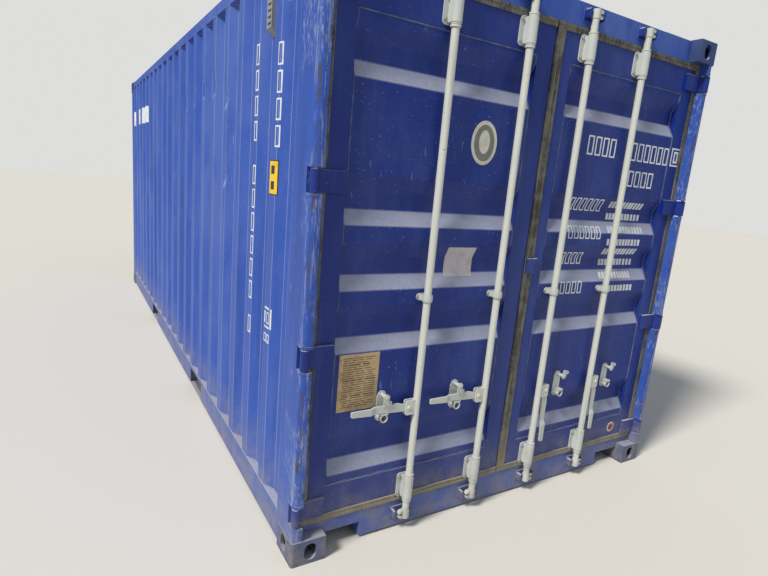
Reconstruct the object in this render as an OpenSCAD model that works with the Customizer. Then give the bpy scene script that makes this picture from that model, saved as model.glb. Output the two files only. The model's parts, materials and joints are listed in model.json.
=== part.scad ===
// Steel dry cargo container, 20 ft, with double doors at one end.
// X runs across, Y along (the door end is at -Y), Z up. The origin is at
// the middle of the footprint, on the ground. All sizes are in millimetres.

/* [Overall] */
// Length over the corner fittings
length = 6058; // [4500:1:9000]
// Width over the corner fittings
width = 2438; // [2300:1:2600]
// Height over the corner fittings
height = 2591; // [2450:1:2900]

/* [Corner fittings] */
// Size of a fitting along the container
fitting_l = 178; // [165:0.5:190]
// Size of a fitting across the container
fitting_w = 162; // [150:0.5:170]
// Height of a fitting
fitting_h = 118; // [112:0.5:124]
// Distance between the slot centres along the container, less than its length
slot_inset_l = 102.5; // [98:0.5:106]
// Distance from the side face to the slot centre
slot_inset_w = 89.5; // [86:0.5:93]
// Length of the slot for a twist lock
slot_l = 124; // [110:0.5:126]
// Width of the slot for a twist lock
slot_w = 63.5; // [58:0.5:68]
// Height of the lashing holes in the end and side faces
lash_h = 80; // [70:0.5:84]
// Width of the lashing holes in the end and side faces
lash_w = 58; // [48:0.5:62]
// Thickness of the face with the slot
fitting_plate = 28; // [20:0.5:30]
// Thickness of the other walls of a fitting
fitting_wall = 15; // [9:0.5:16]
// Radius of the outer upright edge of a fitting
fitting_r = 13; // [4:0.5:20]

/* [Posts and rails] */
// How far the posts stand inside the faces of the fittings
post_set = 3; // [1:0.5:6]
// How far the side walls stand inside the faces of the fittings
wall_set = 7; // [4:0.5:12]
// How far the front wall stands inside the faces of the fittings
end_set = 7.5; // [4:0.5:12]
// Plate of the pressed posts
post_t = 6; // [4:0.5:8]
// Radius of the outer corner of the posts
post_r = 25; // [14:0.5:30]
// Width of a door post's front face, out to the faces of the fittings
post_face = 47; // [42:0.5:60]
// Depth of the channel inside a door post
channel_d = 113; // [90:1:113]
// Plate of the channel inside a door post
channel_t = 12; // [6:0.5:14]
// Width of a front post's end face
front_post_w = 119; // [80:1:150]
// Lip turned in at the edges of a front post
front_post_lip = 24; // [12:1:40]
// Side of the square top rails
top_rail = 60; // [50:1:80]
// Wall of the top rails
top_rail_t = 3; // [2:0.5:6]
// How far the roof and rails lie below the tops of the fittings
roof_set = 6; // [4:0.5:12]
// Height of the bottom side rails
bottom_rail_h = 147.5; // [140:0.5:170]
// Upper flange of the bottom side rails
bottom_rail_top = 48; // [44:1:60]
// Lower flange of the bottom side rails
bottom_rail_low = 30; // [20:1:50]
// Plate of the bottom side rails
bottom_rail_t = 4.5; // [3:0.5:8]
// Clear height under the base frame
ground_gap = 12.5; // [8:0.5:16]

/* [Walls and roof] */
// Sheet of the side walls, front wall and roof
sheet_t = 2; // [1.5:0.1:3]
// Outer face of a side wall fold
side_out = 75.5; // [50:0.5:90]
// Slope of a side wall fold, along the wall
side_slope = 68; // [40:1:80]
// Inner face of a side wall fold
side_in = 73.6; // [50:0.1:90]
// Depth of a side wall fold
side_depth = 36; // [20:1:40]
// Plain strip between a door post's side and the first fold
side_first = 37.75; // [30:0.25:90]
// Outer face of a front wall fold
end_out = 110; // [90:1:130]
// Slope of a front wall fold, along the wall
end_slope = 18; // [12:1:30]
// Inner face of a front wall fold
end_in = 104; // [90:1:120]
// Depth of a front wall fold
end_depth = 45; // [20:1:50]
// Crest of a roof fold
roof_crest = 91; // [70:1:110]
// Slope of a roof fold, along the roof
roof_slope = 26; // [15:1:40]
// Trough of a roof fold
roof_trough = 66; // [50:1:80]
// Depth of a roof fold
roof_depth = 20; // [10:1:24]

/* [Floor] */
// Thickness of the floor
floor_t = 28; // [20:1:32]
// Height of a cross member
cross_h = 122; // [110:1:126]
// Upper flange of a cross member
cross_top = 45; // [30:1:60]
// Lower flange of a cross member
cross_foot = 40; // [25:1:60]
// Plate of a cross member
cross_t = 4; // [3:0.5:6]
// Distance between cross members
cross_pitch = 300; // [240:1:360]
// Distance of a forklift pocket's middle from the middle of the container
pocket_mid = 1025; // [900:1:1100]
// Width of a forklift pocket
pocket_w = 360; // [300:1:370]
// Height of a forklift pocket
pocket_h = 115; // [100:0.5:116]
// Plate that lines a forklift pocket
pocket_t = 3; // [2:0.5:4.5]
// Width of the plate that closes a forklift pocket's ends from below
pocket_plate = 400; // [200:10:600]

/* [Door frame] */
// Depth of the door leaves' face behind the end of the container
leaf_face = 59; // [56:0.5:68]
// Height of the sill's top
sill_top = 154; // [145:1:158]
// Height of the header, down from the roof's top
header_h = 112; // [100:1:112]
// Depth of the header, front to back
header_d = 105; // [90:1:110]
// Plate of the header and the sill
header_t = 4.5; // [3:0.5:6]
// Width of the cut-outs at the ends of the sill
notch_w = 200; // [120:1:260]
// Height of the cut-outs at the ends of the sill
notch_h = 75; // [50:1:90]

/* [Door leaves] */
// Thickness of a leaf
leaf_t = 50; // [44:0.5:56]
// Clearance round a leaf, filled by the gasket
leaf_gap = 12; // [10:0.5:16]
// Free edge of the left leaf, from the middle of the opening
left_edge = 14.5; // [14.5:0.5:20]
// Free edge of the right leaf, from the middle of the opening
right_edge = 14; // [13:0.5:20]
// Width of a leaf's upright on the hinge side
hinge_stile = 110; // [90:1:120]
// Width of a leaf's upright on the free side
free_stile = 100; // [90:1:120]
// Wall of the uprights of a leaf
stile_t = 3.2; // [2:0.1:5]
// Height of a leaf's upper member
upper_rail = 157; // [130:1:170]
// Height of a leaf's lower member
lower_rail = 158; // [130:1:170]
// Plate of a leaf's upper and lower members
rail_t = 3; // [2:0.5:5]
// Sheet of the door panels
panel_t = 2; // [1.5:0.1:3]
// How far the door panel lies behind the face of the leaf
panel_set = 4; // [2:0.5:6]
// Depth of a door panel fold
panel_depth = 36; // [20:1:38]
// Slope of a door panel fold, up the panel
panel_slope = 68; // [40:1:80]
// Inner face of a door panel fold
panel_in = 70; // [50:1:80]
// Height of the narrow outer faces between folds
panel_out = 70; // [40:1:90]
// Plain strip above the lowest fold's lower edge
panel_low = 40; // [20:1:70]
// Plain strip over the top fold
panel_high = 40; // [20:1:70]
// Thickness of the gasket's front lip
gasket_t = 6; // [5:0.5:7]
// How far the gasket laps over the face of the leaf
gasket_lap = 22; // [16:0.5:26]
// Width of the gasket's front lip on the meeting edge
gasket_meet = 50; // [36:0.5:60]
// How far that lip reaches over the middle of the opening
gasket_mid = 6.5; // [4:0.5:7]
// Clearance of the gasket from the frame
gasket_clear = 0.5; // [0.3:0.1:1]

/* [Hinges] */
// Hinge axis, in from the side face of the container
hinge_in = 18; // [18:0.5:22]
// Hinge axis, back from the end face of the container
hinge_back = 19; // [19:0.5:22]
// Middle of the lowest hinge, over the ground
hinge_low = 233; // [233:3:281]
// Middle of the highest hinge, under the top of the container
hinge_high = 222; // [216:3:279]
// Height of a hinge blade
blade_h = 88; // [60:1:100]
// Outer radius of the hinge knuckles
knuckle_r = 16.5; // [14:0.5:16.5]
// Radius of the hinge pins
hinge_pin_r = 9; // [6:0.5:10]
// Thickness of a hinge blade
blade_t = 10; // [6:0.5:10]
// End of a hinge blade on the leaf, in from the side face of the container
blade_end = 159; // [130:1:165]
// Thickness of the lugs that hold a hinge pin
lug_t = 12; // [8:0.5:14]
// Depth of the cut-out in the post at a hinge
pocket_d = 65; // [60:0.5:65]
// Clearance above and below a hinge blade
hinge_clear = 5; // [3:0.5:8]

/* [Lock rods] */
// Depth of the rods' axes behind the end of the container
rod_back = 26; // [25:0.5:28]
// Outer rods, in from the side face of the container
rod_side = 599; // [560:1:640]
// Inner rods, from the middle of the container
rod_near = 200; // [185:1:240]
// Radius of the rods
rod_r = 17; // [12:0.5:18]
// Running clearance of the rods in their bearings
rod_clear = 0.6; // [0.4:0.1:1]
// Wall of the bearings
bearing_t = 6.4; // [4:0.1:7]
// Width of the bearings' feet
bearing_w = 96; // [84:1:110]
// Thickness of the bearings' feet
bearing_foot = 6; // [4:0.5:8]
// Height of the end bearings
bearing_h = 127; // [90:1:130]
// Middle of the upper bearings, under the top of the container
bearing_high = 209.5; // [205:0.5:240]
// Middle of the lower bearings, over the ground
bearing_low = 235.5; // [232:0.5:240]
// Height of the middle guides
guide_h = 34; // [20:1:44]
// Width of the middle guides' feet
guide_w = 74; // [66:1:90]
// Collars on the rods, beyond the rod's radius
collar_over = 5.5; // [3:0.5:7]
// Height of the collars on the rods
collar_h = 8; // [5:0.5:12]
// Middle of the upper cams, under the top of the container
cam_high = 56; // [54:1:64]
// Middle of the lower cams, over the ground
cam_low = 92; // [84:1:94]
// Reach of the cams' fingers from the rod's axis
finger_l = 46; // [38:0.5:48]
// Width of the cams' fingers
finger_w = 22; // [14:0.5:24]
// Height of a cam over its two fingers
cam_h = 42; // [30:1:46]
// Width of the mouth between the two fingers of a cam
cam_mouth = 12; // [8:0.5:16]
// Height of the lugs of the cam keepers
keeper_h = 46; // [30:1:50]
// How far the lugs of the cam keepers stand out of the frame
keeper_d = 34; // [20:0.5:38]

/* [Handles and catches] */
// Height of the left leaf's handle pivots
handle_left = 658; // [640:1:664]
// Height of the right leaf's handle pivots
handle_right = 615; // [610:1:640]
// Handle pivot, out from the rod's axis
pivot_out = 47; // [45:0.5:52]
// Space between a handle's tip and the axis of the next rod
handle_space = 68; // [62:1:90]
// Height of a handle's bar
handle_h = 34; // [28:0.5:35]
// Height of a handle's grip
grip_h = 27; // [22:0.5:30]
// How far a handle rises towards its catch
handle_rise = 10; // [4:0.5:12]
// How far the grip stands out in front of the bar
grip_out = 13; // [6:0.5:14]
// Thickness of a handle's bar
handle_t = 9; // [7:0.5:9]
// Radius of the handle pivots
pivot_r = 8; // [5:0.5:9]
// Height of the handle hubs
hub_h = 72; // [56:1:76]
// Thickness of the handle hubs' cheeks
hub_t = 6; // [4:0.5:6.5]
// Middle of a catch, out from the rod's axis
catch_out = 175; // [165:1:190]
// Width of a catch's foot
catch_w = 52; // [44:1:60]
// Outer diameter of the cup under a catch's ledge
cup_d = 40; // [30:1:46]
// Width of a catch's ledge and of a hasp
hasp_w = 40; // [30:1:44]
// Hasp pivot, over the handle's pivot
hasp_up = 68; // [66:0.5:74]
// Thickness of a hasp
hasp_t = 5; // [3:0.5:5]
// Turn of a hasp from hanging to open, in degrees
hasp_turn = 165; // [150:1:170]

/* [Small parts] */
// Foot of the plate over the right leaf's free edge
lap_z = 1275; // [1210:5:1400]
// Height of that plate
lap_h = 76; // [50:1:100]
// Width of that plate
lap_w = 52; // [36:1:60]
// How far that plate stands over the gasket
lap_t = 12; // [8:1:16]
// Space between the data plate and the leaf's upright
plate_space = 28; // [16:1:60]
// Space between the data plate and the catch
plate_gap = 1; // [1:0.5:30]
// Height of the data plate
plate_h = 264; // [160:1:300]
// Thickness of the data plate
plate_t = 2; // [1:0.5:3]
// Height of a vent cover
vent_h = 156; // [100:1:220]
// Width of a vent cover
vent_w = 66; // [40:1:68]
// Middle of a vent cover, under the top of the container
vent_down = 254; // [200:1:400]
// Side of the corner plates on the roof
roof_plate = 240; // [150:1:300]

/* [Hidden] */
$fn = 64;

half_l = length / 2;
half_w = width / 2;
over = 1;                              // overshoot of a cut

slot_x = half_w - slot_inset_w;
slot_y = half_l - slot_inset_l;
fit_x = half_w - fitting_w;            // inner face of a fitting, across
fit_y = half_l - fitting_l;            // inner face of a fitting, along

post_x = half_w - post_set;
post_y = half_l - post_set;
jamb_x = half_w - post_face;
post_back = fit_y;                     // back of the door posts
post_low = fitting_h;
post_high = height - fitting_h;
channel_y = post_back + channel_d;     // front of the channel in a door post

wall_x = half_w - wall_set;
end_y = half_l - end_set;
roof_top = height - roof_set;
rail_low = roof_top - top_rail;        // underside of the top rails
base_top = ground_gap + bottom_rail_h; // top of the bottom side rails
side_pitch = side_out + 2 * side_slope + side_in;
side_folds = floor((2 * fit_y - side_first + side_out) / side_pitch);
cross_low = ground_gap + bottom_rail_t; // underside of the cross members
floor_low = cross_low + cross_h;
floor_top = floor_low + floor_t;

door_face = half_l - leaf_face;        // outer face of the leaves
frame_face = door_face - gasket_clear; // outer face of the sill and the header
header_low = roof_top - header_h;
header_back = frame_face - header_d;

leaf_low = sill_top + leaf_gap;
leaf_high = header_low - leaf_gap;
leaf_x = jamb_x - leaf_gap;
panel_low_z = leaf_low + lower_rail;
panel_high_z = leaf_high - upper_rail;
panel_y = door_face - panel_set;       // outer face of the door panels
fold_h = 2 * panel_slope + panel_in;
panel_big = (panel_high_z - panel_low_z - 5 * fold_h - 2 * panel_out
    - panel_low - panel_high) / 2;     // height of the two broad outer faces
big_low_z = panel_low_z + panel_low + fold_h;
narrow_low_z = big_low_z + panel_big + fold_h;

axis_x = half_w - hinge_in;
axis_y = half_l - hinge_back;
hinge_z = [for (i = [0 : 3])
    hinge_low + i * (height - hinge_high - hinge_low) / 3];
half_gap = blade_h / 2 + hinge_clear;  // half the space between the lugs
pocket_y = post_y + post_set - pocket_d;

rod_y = half_l - rod_back;
rod_far = half_w - rod_side;
bearing_r = rod_r + rod_clear + bearing_t;
bearing_z = [bearing_low, height - bearing_high];
guide_z = narrow_low_z + panel_out / 2;
cam_z = [cam_low, height - cam_high];
collar_gap = 1.5;
finger_gap = 6;                        // cam to keeper, at the sides
cam_boss = rod_r + 2.5;

handle_y = rod_y;                      // middle of a handle's thickness at its pivot
handle_l = rod_far - rod_near - pivot_out - handle_space; // from the pivot to the tip
grip_from = catch_out - pivot_out + hasp_w / 2 + 32;      // start of the bend to the grip
ledge_down = handle_h / 2 - handle_rise / 2 + 1;          // ledge under the pivot
groove_w = 5;                          // groove in the gasket's lip
pivot_clear = 0.4;
boss_r = 9;                            // boss behind a hasp
cheek_gap = 1;
catch_ledge = 8;
hasp_gap = 5;
hasp_y = handle_y + handle_t / 2 + hasp_gap; // back of a hasp
plate_x = rod_far + catch_out + catch_w / 2 + plate_gap; // edge of the data plate
plate_w = leaf_x - hinge_stile - plate_space - plate_x;

blue = "#2c4fa5";
dark_blue = "#24407f";
pale = "#dfe5d8";

// Places a shape made for the right half on the side given by s.
module on_side(s) { if (s > 0) children(); else mirror([1, 0, 0]) children(); }

// Both halves, left and right.
module both_sides() { for (s = [-1, 1]) on_side(s) children(); }

// Slot outline, long side along Y.
module slot(l, w) {
    square([w, l - w], center = true);
    for (s = [-1, 1]) translate([0, s * (l - w) / 2]) circle(d = w);
}

// Rectangle with its corner at +X +Y rounded.
module rounded_box(x0, y0, x1, y1, r) {
    difference() {
        translate([x0, y0]) square([x1 - x0, y1 - y0]);
        translate([x1 - r, y1 - r]) difference() {
            square(r + over);
            circle(r);
        }
    }
}

// Box between two corners.
module block(a, b) { translate(a) cube(b - a); }

// Upright bar from an outline in the XY plane.
module upright(z0, z1) { translate([0, 0, z0]) linear_extrude(z1 - z0) children(); }

// Bar across the container from an outline in the YZ plane.
module crossbar(x0, x1) {
    translate([x0, 0, 0]) rotate([90, 0, 90]) linear_extrude(x1 - x0) children();
}

// Bar along the container from an outline in the XZ plane.
module lengthwise(y0, y1) {
    translate([0, y1, 0]) rotate([90, 0, 0]) linear_extrude(y1 - y0) children();
}

// Corner points of a folded sheet: folds go down by depth, from first on.
function folds(from, to, first, count, out, slope, inner, depth) =
    concat([[from, 0]],
        [for (i = [0 : count - 1]) let (u = first + i * (out + 2 * slope + inner))
            each [[u, 0], [u + slope, -depth],
                [u + slope + inner, -depth], [u + 2 * slope + inner, 0]]],
        [[to, 0]]);

// Outline of a sheet of thickness t below a line of points.
module sheet(line, t) {
    polygon(concat(line,
        [for (i = [len(line) - 1 : -1 : 0]) [line[i][0], line[i][1] - t]]));
}

// One corner fitting, at the corner +X +Y, standing on z = 0 with its slot down.
module corner_fitting() {
    difference() {
        upright(0, fitting_h) rounded_box(fit_x, fit_y, half_w, half_l, fitting_r);
        block([fit_x + fitting_wall, fit_y + fitting_wall, fitting_plate],
            [half_w - fitting_wall, half_l - fitting_wall, fitting_h - fitting_wall]);
        translate([slot_x, slot_y, -over]) linear_extrude(fitting_plate + 2 * over)
            slot(slot_l, slot_w);
        translate([slot_x, half_l + over, fitting_h / 2]) rotate([90, 0, 0])
            linear_extrude(fitting_wall + 2 * over) slot(lash_h, lash_w);
        translate([half_w + over, slot_y, fitting_h / 2]) rotate([90, 0, -90])
            linear_extrude(fitting_wall + 2 * over) slot(lash_h, lash_w);
    }
}

module four_fittings() {
    for (a = [0, 1], b = [0, 1]) mirror([a, 0, 0]) mirror([0, b, 0]) corner_fitting();
}

module corner_fittings_bottom() { color(blue) four_fittings(); }

module corner_fittings_top() {
    color(blue) translate([0, 0, height]) mirror([0, 0, 1]) four_fittings();
}

// Pressed door post with the channel that stiffens it, as an outline.
module rear_post_outline() {
    mirror([0, 1]) difference() {
        rounded_box(jamb_x, post_back, post_x, post_y, post_r);
        rounded_box(jamb_x + post_t, channel_y, post_x - post_t, post_y - post_t, post_r - post_t);
        translate([jamb_x + channel_t, post_back + channel_t])
            square([post_x - post_t - jamb_x - channel_t, channel_d - 2 * channel_t]);
    }
}

module rear_posts() {
    color(blue) both_sides() difference() {
        upright(post_low, post_high) rear_post_outline();
        for (z = hinge_z) block([jamb_x - over, -half_l - over, z - half_gap - lug_t],
            [half_w + over, -pocket_y, z + half_gap + lug_t]);
    }
}

// Pressed front post: an angle with a round corner and two lips turned in.
module front_posts() {
    inner = half_w - front_post_w;
    color(blue) both_sides() upright(post_low, post_high) {
        difference() {
            rounded_box(inner, fit_y, post_x, end_y, post_r);
            rounded_box(inner - over, fit_y - over, post_x - post_t, end_y - post_t, post_r - post_t);
        }
        translate([inner, end_y - front_post_lip]) square([post_t, front_post_lip]);
        translate([post_x - front_post_lip, fit_y]) square([front_post_lip, post_t]);
    }
}

module bottom_side_rails() {
    t = bottom_rail_t;
    color(blue) both_sides() difference() {
        lengthwise(-fit_y, fit_y) {
            translate([wall_x - t, ground_gap]) square([t, bottom_rail_h]);
            translate([wall_x - bottom_rail_top, base_top - t]) square([bottom_rail_top, t]);
            translate([wall_x - bottom_rail_low, ground_gap]) square([bottom_rail_low, t]);
        }
        for (s = [-1, 1]) block(
            [wall_x - bottom_rail_low - over, s * pocket_mid - pocket_w / 2, cross_low],
            [wall_x + over, s * pocket_mid + pocket_w / 2, cross_low + pocket_h]);
    }
}

module top_side_rails() {
    t = top_rail_t;
    color(blue) both_sides() lengthwise(-fit_y, fit_y) difference() {
        translate([wall_x - top_rail, rail_low]) square(top_rail);
        translate([wall_x - top_rail + t, rail_low + t]) square(top_rail - 2 * t);
    }
}

// Pressed sill with lined cut-outs beside the fittings.
module door_sill() {
    t = header_t;
    deep = header_d * 0.6;
    notch_x = fit_x - notch_w;
    color(blue) {
        difference() {
            union() {
                block([-fit_x, -frame_face, ground_gap], [fit_x, -frame_face + t, sill_top]);
                for (s = [-1, 1]) on_side(s)
                    block([fit_x - over, -frame_face, fitting_h + over], [jamb_x, -frame_face + t, sill_top]);
                block([-jamb_x, -frame_face, sill_top - t], [jamb_x, -header_back, sill_top]);
                block([-notch_x, -frame_face, ground_gap], [notch_x, -frame_face + deep, ground_gap + t]);
                block([-fit_x, -header_back - t, floor_low], [fit_x, -header_back, sill_top]);
            }
            both_sides() block([notch_x, -frame_face - over, ground_gap - over],
                [fit_x + over, -frame_face + t + over, ground_gap + notch_h]);
        }
        both_sides() {
            block([notch_x - t, -frame_face, ground_gap], [notch_x, -frame_face + deep, ground_gap + notch_h + t]);
            block([notch_x, -frame_face, ground_gap + notch_h], [fit_x, -frame_face + deep, ground_gap + notch_h + t]);
        }
    }
}

// Box header over the doors.
module door_header() {
    t = header_t;
    color(blue) crossbar(-fit_x, fit_x) difference() {
        translate([-frame_face, header_low]) square([header_d, header_h]);
        translate([-frame_face + t, header_low + t]) square([header_d - 2 * t, header_h - 2 * t]);
    }
}

module front_sill() {
    t = header_t;
    back = end_y - end_depth - sheet_t - 2 * t;
    edge = half_w - front_post_w;
    color(blue) {
        crossbar(-fit_x, fit_x) {
            translate([end_y - t, ground_gap]) square([t, base_top - ground_gap]);
            translate([end_y - header_d * 0.6, ground_gap]) square([header_d * 0.6, t]);
        }
        crossbar(-edge, edge) {
            translate([end_y - t, fitting_h + over]) square([t, base_top - fitting_h - over]);
            translate([back, base_top - t]) square([end_y - back, t]);
            translate([back, floor_low]) square([t, base_top - floor_low]);
        }
    }
}

module front_header() {
    t = top_rail_t;
    color(blue) crossbar(-fit_x, fit_x) difference() {
        translate([end_y - top_rail, rail_low]) square(top_rail);
        translate([end_y - top_rail + t, rail_low + t]) square(top_rail - 2 * t);
    }
}

// One pressed channel under the floor, its back at y.
module cross_member(y) {
    inner = wall_x - bottom_rail_t;
    crossbar(-inner, inner) {
        translate([y, cross_low]) square([cross_t, cross_h]);
        translate([y, floor_low - cross_t]) square([cross_top, cross_t]);
        translate([y, cross_low]) square([cross_foot, cross_t]);
    }
}

// Members stand clear of the forklift pockets.
module cross_members() {
    reach = floor((fit_y - cross_top) / cross_pitch);
    color(dark_blue) for (i = [-reach : reach]) {
        y = i * cross_pitch;
        if (abs(abs(y + cross_top / 2) - pocket_mid) > pocket_w / 2 + cross_top)
            cross_member(y);
    }
}

// Lined tunnels for forklift tines, from side to side.
module fork_pockets() {
    inner = wall_x - bottom_rail_t;
    low = cross_low;
    color(dark_blue) for (s = [-1, 1]) {
        y0 = s * pocket_mid - pocket_w / 2;
        y1 = s * pocket_mid + pocket_w / 2;
        crossbar(-inner, inner) {
            translate([y0 - pocket_t, low]) square([pocket_t, floor_low - low]);
            translate([y1, low]) square([pocket_t, floor_low - low]);
            translate([y0 - pocket_t, low + pocket_h]) square([y1 - y0 + 2 * pocket_t, pocket_t]);
        }
        both_sides() block([inner - pocket_plate, y0 - pocket_t, low - pocket_t],
            [wall_x - bottom_rail_low, y1 + pocket_t, low]);
    }
}

module floor() {
    side = wall_x - bottom_rail_top - 3;
    color("#6d4b33")
        block([-side, -header_back, floor_low], [side, end_y - end_depth - sheet_t - 2 * header_t, floor_top]);
}

// Folded side wall, seen from above as a sheet of even thickness.
module side_wall(s) {
    first = -fit_y + side_first;
    color(blue) on_side(s) upright(base_top, rail_low) translate([wall_x, 0]) rotate(90) mirror([0, 1])
        sheet(folds(-fit_y, fit_y, first, side_folds, side_out, side_slope, side_in, side_depth), sheet_t);
}

module side_wall_left() { side_wall(-1); }
module side_wall_right() { side_wall(1); }

module front_wall() {
    edge = half_w - front_post_w;
    pitch = end_out + 2 * end_slope + end_in;
    count = floor((2 * edge - end_out) / pitch);
    first = -(count * pitch - end_out) / 2;
    color(blue) difference() {
        upright(base_top, rail_low) translate([0, end_y])
            sheet(folds(-edge, edge, first, count, end_out, end_slope, end_in, end_depth), sheet_t);
        both_sides() block([fit_x, fit_y, post_high], [edge + over, half_l, rail_low + over]);
    }
}

module roof() {
    side = wall_x - top_rail;
    from = -header_back;
    to = end_y - top_rail;
    pitch = roof_crest + 2 * roof_slope + roof_trough;
    count = floor((to - from - roof_crest) / pitch);
    first = from + (to - from - count * pitch + roof_crest) / 2;
    color(blue) difference() {
        crossbar(-side, side) translate([0, roof_top])
            sheet(folds(from, to, first, count, roof_crest, roof_slope, roof_trough, roof_depth), sheet_t);
        for (s = [-1, 1]) both_sides() block([fit_x, s > 0 ? fit_y : -half_l, post_high],
            [side + over, s > 0 ? half_l : -fit_y, height]);
    }
}

// Plates that guard the roof beside the fittings.
module roof_corner_plates() {
    color(blue) for (s = [-1, 1]) on_side(s) {
        block([fit_x - roof_plate, -frame_face + header_t, roof_top],
            [fit_x - over, -header_back, roof_top + sheet_t + 1]);
        block([fit_x - roof_plate, end_y - top_rail, roof_top],
            [fit_x - over, end_y - 2, roof_top + sheet_t + 1]);
    }
}

// Hooded vent cover in a fold of the wall.
module vent(y) {
    back = wall_x - side_depth;
    z0 = height - vent_down - vent_h / 2;
    depth = side_depth - 4;
    translate([back, y - vent_w / 2, z0]) difference() {
        union() {
            translate([0, 0, vent_h * 0.2]) cube([depth, vent_w, vent_h * 0.8]);
            rotate([90, 0, 0]) mirror([0, 0, 1]) linear_extrude(vent_w)
                polygon([[0, 0], [depth, vent_h * 0.2], [0, vent_h * 0.2 + over]]);
        }
        for (i = [0 : 3]) translate([depth * 0.35, vent_w * 0.15, vent_h * (0.28 + 0.17 * i)])
            cube([depth, vent_w * 0.7, vent_h * 0.07]);
    }
}

module vents() {
    mid = -fit_y + side_first + side_slope + side_in / 2;
    color("#8c8f93") {
        on_side(-1) vent(mid + side_pitch);
        on_side(1) vent(mid + (side_folds - 2) * side_pitch);
    }
}

// Keeper of one cam: a foot and two lugs beside the cam.
module keeper(x, z) {
    translate([x, -frame_face, z]) {
        near = cam_boss + finger_gap;
        far = finger_l + finger_gap;
        block([-near - 22, -4, -keeper_h / 2 - 5], [far + 18, 0, keeper_h / 2 + 5]);
        for (p = [[-near - 18, 18], [far, 14]])
            rotate([90, 0, 0]) upright(0, keeper_d) {
                translate([p[0], -keeper_h / 2 + p[1] / 2]) square([p[1], keeper_h - p[1]]);
                for (s = [-1, 1]) translate([p[0] + p[1] / 2, s * (keeper_h - p[1]) / 2]) circle(d = p[1]);
            }
    }
}

module cam_keepers() {
    color(blue) both_sides() for (x = [rod_near, rod_far], z = cam_z) keeper(x, z);
}

// Outline of a lug: the nose of the post, with its pin hole.
module lug_outline() {
    mirror([0, 1]) difference() {
        rounded_box(jamb_x, pocket_y, post_x + 2, post_y + 2, post_r + 2);
        translate([axis_x, axis_y]) circle(hinge_pin_r + 0.2);
    }
}

module hinge_lugs() {
    color(blue) both_sides() for (z = hinge_z, s = [-1, 1])
        upright(z + s * (half_gap + lug_t / 2) - lug_t / 2, z + s * (half_gap + lug_t / 2) + lug_t / 2)
            lug_outline();
}

module hinge_pins() {
    color("#8b8f92") both_sides() for (z = hinge_z)
        translate([axis_x, -axis_y, z - half_gap - lug_t])
            cylinder(r = hinge_pin_r, h = 2 * (half_gap + lug_t));
}

// Welded frame of a leaf on the right half, its free edge at x = edge.
module leaf_frame(edge) {
    back = door_face - leaf_t;
    inner_f = edge + free_stile;
    inner_h = leaf_x - hinge_stile;
    for (p = [[edge, inner_f], [inner_h, leaf_x]])
        upright(leaf_low, leaf_high) difference() {
            translate([p[0], -door_face]) square([p[1] - p[0], leaf_t]);
            translate([p[0] + stile_t, -door_face + stile_t])
                square([p[1] - p[0] - 2 * stile_t, leaf_t - 2 * stile_t]);
        }
    crossbar(inner_f, inner_h) {
        for (z = [[leaf_low, panel_low_z], [panel_high_z, leaf_high]]) {
            translate([-door_face, z[0]]) square([rail_t, z[1] - z[0]]);
            for (f = [z[0], z[1] - rail_t])
                translate([-door_face, f]) square([door_face - back, rail_t]);
        }
    }
}

// Stepped plate over the gasket at the middle of the right leaf's free edge.
module lap_plate() {
    out = -door_face - gasket_t;
    foot = gasket_meet - gasket_mid + 1;
    block([foot, out - lap_t / 2, lap_z], [foot + lap_w / 2, -door_face, lap_z + lap_h]);
    block([1 - gasket_mid, out - lap_t, lap_z], [foot + 2, out - 1, lap_z + lap_h]);
}

// Folded door panel: five folds, two broad and two narrow outer faces.
function panel_line() =
    let (starts = [
        panel_low_z + panel_low,
        big_low_z + panel_big,
        narrow_low_z + panel_out,
        narrow_low_z + 2 * panel_out + fold_h,
        narrow_low_z + 2 * panel_out + 2 * fold_h + panel_big])
    concat([[panel_low_z, 0]],
        [for (z = starts) each [[z, 0], [z + panel_slope, -panel_depth],
            [z + panel_slope + panel_in, -panel_depth], [z + fold_h, 0]]],
        [[panel_high_z, 0]]);

module leaf_panel(edge) {
    crossbar(edge + free_stile, leaf_x - hinge_stile) translate([-panel_y, 0]) rotate(90)
        sheet(panel_line(), panel_t);
}

// Gasket of a leaf: a grooved lip on its face and a strip round its edge.
// The leaf's free edge is at x = edge, and the gasket ends at x = meet.
module leaf_gasket(edge, meet) {
    out_x = jamb_x - gasket_clear;
    low = sill_top + gasket_clear;
    high = header_low - gasket_clear;
    front = -door_face - gasket_t;
    lip_x = meet < edge ? meet + gasket_meet : edge - over;
    groove = (gasket_lap + leaf_gap) / 2;
    difference() {
        block([meet, front, low], [out_x, -door_face, high]);
        block([lip_x, front - over, leaf_low + gasket_lap],
            [leaf_x - gasket_lap, -door_face + over, leaf_high - gasket_lap]);
        for (x = [rod_near, rod_far], z = bearing_z)
            block([x - bearing_w / 2 - 1, front - over, z - bearing_h / 2 - 1.5],
                [x + bearing_w / 2 + 1, -door_face + over, z + bearing_h / 2 + 1.5]);
        for (z = [low + groove, high - groove]) block([meet - over, front - over, z - groove_w / 2],
            [out_x + over, front + gasket_t / 3, z + groove_w / 2]);
        for (x = meet < edge ? [out_x - groove, meet + gasket_meet / 2] : [out_x - groove])
            block([x - groove_w / 2, front - over, low - over], [x + groove_w / 2, front + gasket_t / 3, high + over]);
    }
    difference() {
        block([meet, -door_face, low], [out_x, -door_face + leaf_t - 5, high]);
        block([edge, -door_face - over, leaf_low], [leaf_x, -door_face + leaf_t, leaf_high]);
    }
}

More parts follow.
